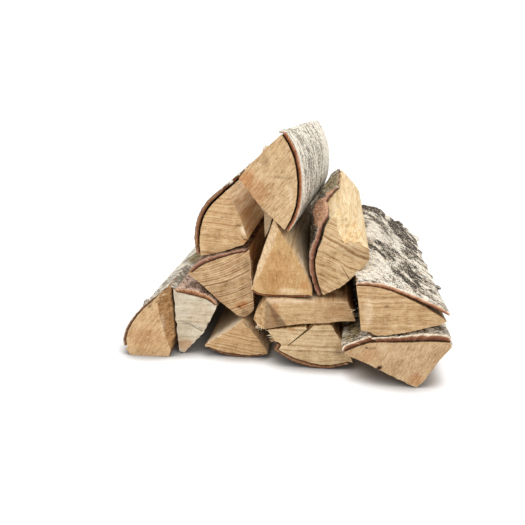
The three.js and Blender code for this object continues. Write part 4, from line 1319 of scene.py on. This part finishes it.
def splinter_nodes(material):
    """Stands one thin tapered splinter on each point of a mesh, and makes them one mesh."""
    tree = bpy.data.node_groups.new("splinters", "GeometryNodeTree")
    for name, side in (("Roots", "INPUT"), ("Splinters", "OUTPUT")):
        tree.interface.new_socket(name, in_out=side, socket_type="NodeSocketGeometry")
    made = Nodes(tree, "")
    roots = made.node("NodeGroupInput").outputs["Roots"]
    way, size = (
        made.node("GeometryNodeInputNamedAttribute", {"data_type": "FLOAT_VECTOR"}, Name=name)
        for name in ("way", "size")
    )
    turn = made.node("FunctionNodeAlignRotationToVector", {"axis": "Z"}, Vector=way.outputs["Attribute"])
    form = dict(Radius_Top=SPLINTER_TIP, Radius_Bottom=1.0, Depth=1.0, Vertices=SPLINTER_SIDES)
    shape = made.node("GeometryNodeMeshCone", **form).outputs["Mesh"]
    pose = dict(Rotation=turn.outputs["Rotation"], Scale=size.outputs["Attribute"])
    stand = made.node("GeometryNodeInstanceOnPoints", Points=roots, Instance=shape, **pose)
    real = made.node("GeometryNodeRealizeInstances", Geometry=stand.outputs["Instances"])
    paint = made.node("GeometryNodeSetMaterial", Geometry=real.outputs["Geometry"], Material=material)
    made.node("NodeGroupOutput", Splinters=paint.outputs["Geometry"])
    return tree


def fibre_finish():
    """Fresh torn fibres, some paler than others."""
    made = Finish("torn_fibres", 0.7)
    spot = made.node("TexCoord").outputs["Object"]
    shade = made.node("TexNoise", Vector=spot, Scale=90.0).outputs["Fac"]
    return made.done(made.blend(made.ramp(shade, 0.4, 0.7), "#F2DFBC", "#BF9564"))


def splinters():
    """All splinters and tufts, as one piece."""
    roots, ways, lengths = splinter_spots()
    host = bpy.data.meshes.new("splinter_roots")
    host.from_pydata((roots * MM).tolist(), [], [])
    width = np.clip(lengths * SPLINTER_SLENDER, SPLINTER_THIN, SPLINTER_THICK)
    size = np.stack([width, width * SPLINTER_FLAT, lengths], 1) * MM
    for name, values in (("way", ways), ("size", size)):
        attribute = host.attributes.new(name, "FLOAT_VECTOR", "POINT")
        attribute.data.foreach_set("vector", values.astype(np.float32).ravel())
    holder = placed("splinter_roots", host)
    holder.modifiers.new("splinters", "NODES").node_group = splinter_nodes(fibre_finish())
    seen = holder.evaluated_get(bpy.context.evaluated_depsgraph_get())
    mesh = bpy.data.meshes.new_from_object(seen)
    mesh.name = "splinters"
    bpy.data.objects.remove(holder)
    made = placed("splinters", mesh)
    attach(made, "root")


splinters()


# Stage, light and camera


FLOOR_HALF = 9.0  # in metres, as all of the stage
FLOOR_DROP = 0.0002
FLOOR_GREY = 0.36
FLOOR_GLOW = 0.72
SHADOW_REACH = 0.032
SHADOW_TINT = "#C9AF94"
ROOM_LIGHT = 0.82  # strength of the white room as a light; the camera sees it at 1

# Lamps: place, target, size and power
LAMPS = {
    "key": ((-0.9, -1.3, 1.8), (0, 0, 0.1), 1.2, 10.3),
    "fill": ((0.9, -1.4, 1.2), (0, 0, 0.1), 1.4, 8.8),
    "top": ((0.3, -0.2, 2.2), (0, 0, 0), 1.9, 16),
}


def area_light(name, place, target, size, power):
    lamp = bpy.data.lights.new(name, "AREA")
    lamp.shape = "DISK"
    lamp.size = size
    lamp.energy = power
    made = placed(name, lamp)
    made.location = place
    made.rotation_euler = (Vector(target) - Vector(place)).to_track_quat("-Z", "Y").to_euler()


def white_floor():
    """A floor that glows as white as the room, with painted shadow close under the logs, where its glow is
    dimmed and tinted as little open sky reaches it.
    """
    mesh = bpy.data.meshes.new("floor")
    corners = [(x * FLOOR_HALF, y * FLOOR_HALF, 0) for x, y in ((-1, -1), (1, -1), (1, 1), (-1, 1))]
    mesh.from_pydata(corners, [], [(0, 1, 2, 3)])
    paint = Finish("floor_paint", 0.95)
    open_sky = paint.node("AmbientOcclusion", Distance=SHADOW_REACH).outputs["AO"]
    glow = paint.ramp(open_sky, 0.36, 0.92)
    paint.set(
        Emission_Strength=paint.times(glow, FLOOR_GLOW),
        Emission_Color=paint.blend(glow, SHADOW_TINT, "#FFFFFF"),
        Specular_IOR_Level=0,
        Base_Color=(FLOOR_GREY, FLOOR_GREY, FLOOR_GREY, 1),
    )
    mesh.materials.append(paint.material)
    floor = placed("floor", mesh)
    floor.location.z = -FLOOR_DROP


def white_room():
    world = bpy.data.worlds.new("white_room")
    world.use_nodes = True
    world.node_tree.nodes.clear()
    room = Nodes(world.node_tree)
    seen = room.node("LightPath").outputs["Is Camera Ray"]
    strength = room.node("MapRange", Value=seen, To_Min=ROOM_LIGHT, To_Max=1.0).outputs["Result"]
    sky = room.node("Background", Color=(1, 1, 1, 1), Strength=strength).outputs["Background"]
    room.node("OutputWorld", Surface=sky)
    bpy.context.scene.world = world
    bpy.context.scene.view_settings.view_transform = "Standard"


def camera():
    lens = bpy.data.cameras.new("camera")
    lens.lens = LENS
    lens.sensor_width = SENSOR
    made = placed("camera", lens)
    made.location = [c * MM for c in CAMERA_PLACE]
    made.rotation_euler = (math.radians(90 - CAMERA_DIP), 0, math.radians(CAMERA_TURN))
    bpy.context.scene.camera = made


white_floor()
white_room()
for lamp_name, lamp in LAMPS.items():
    area_light(lamp_name, *lamp)
camera()
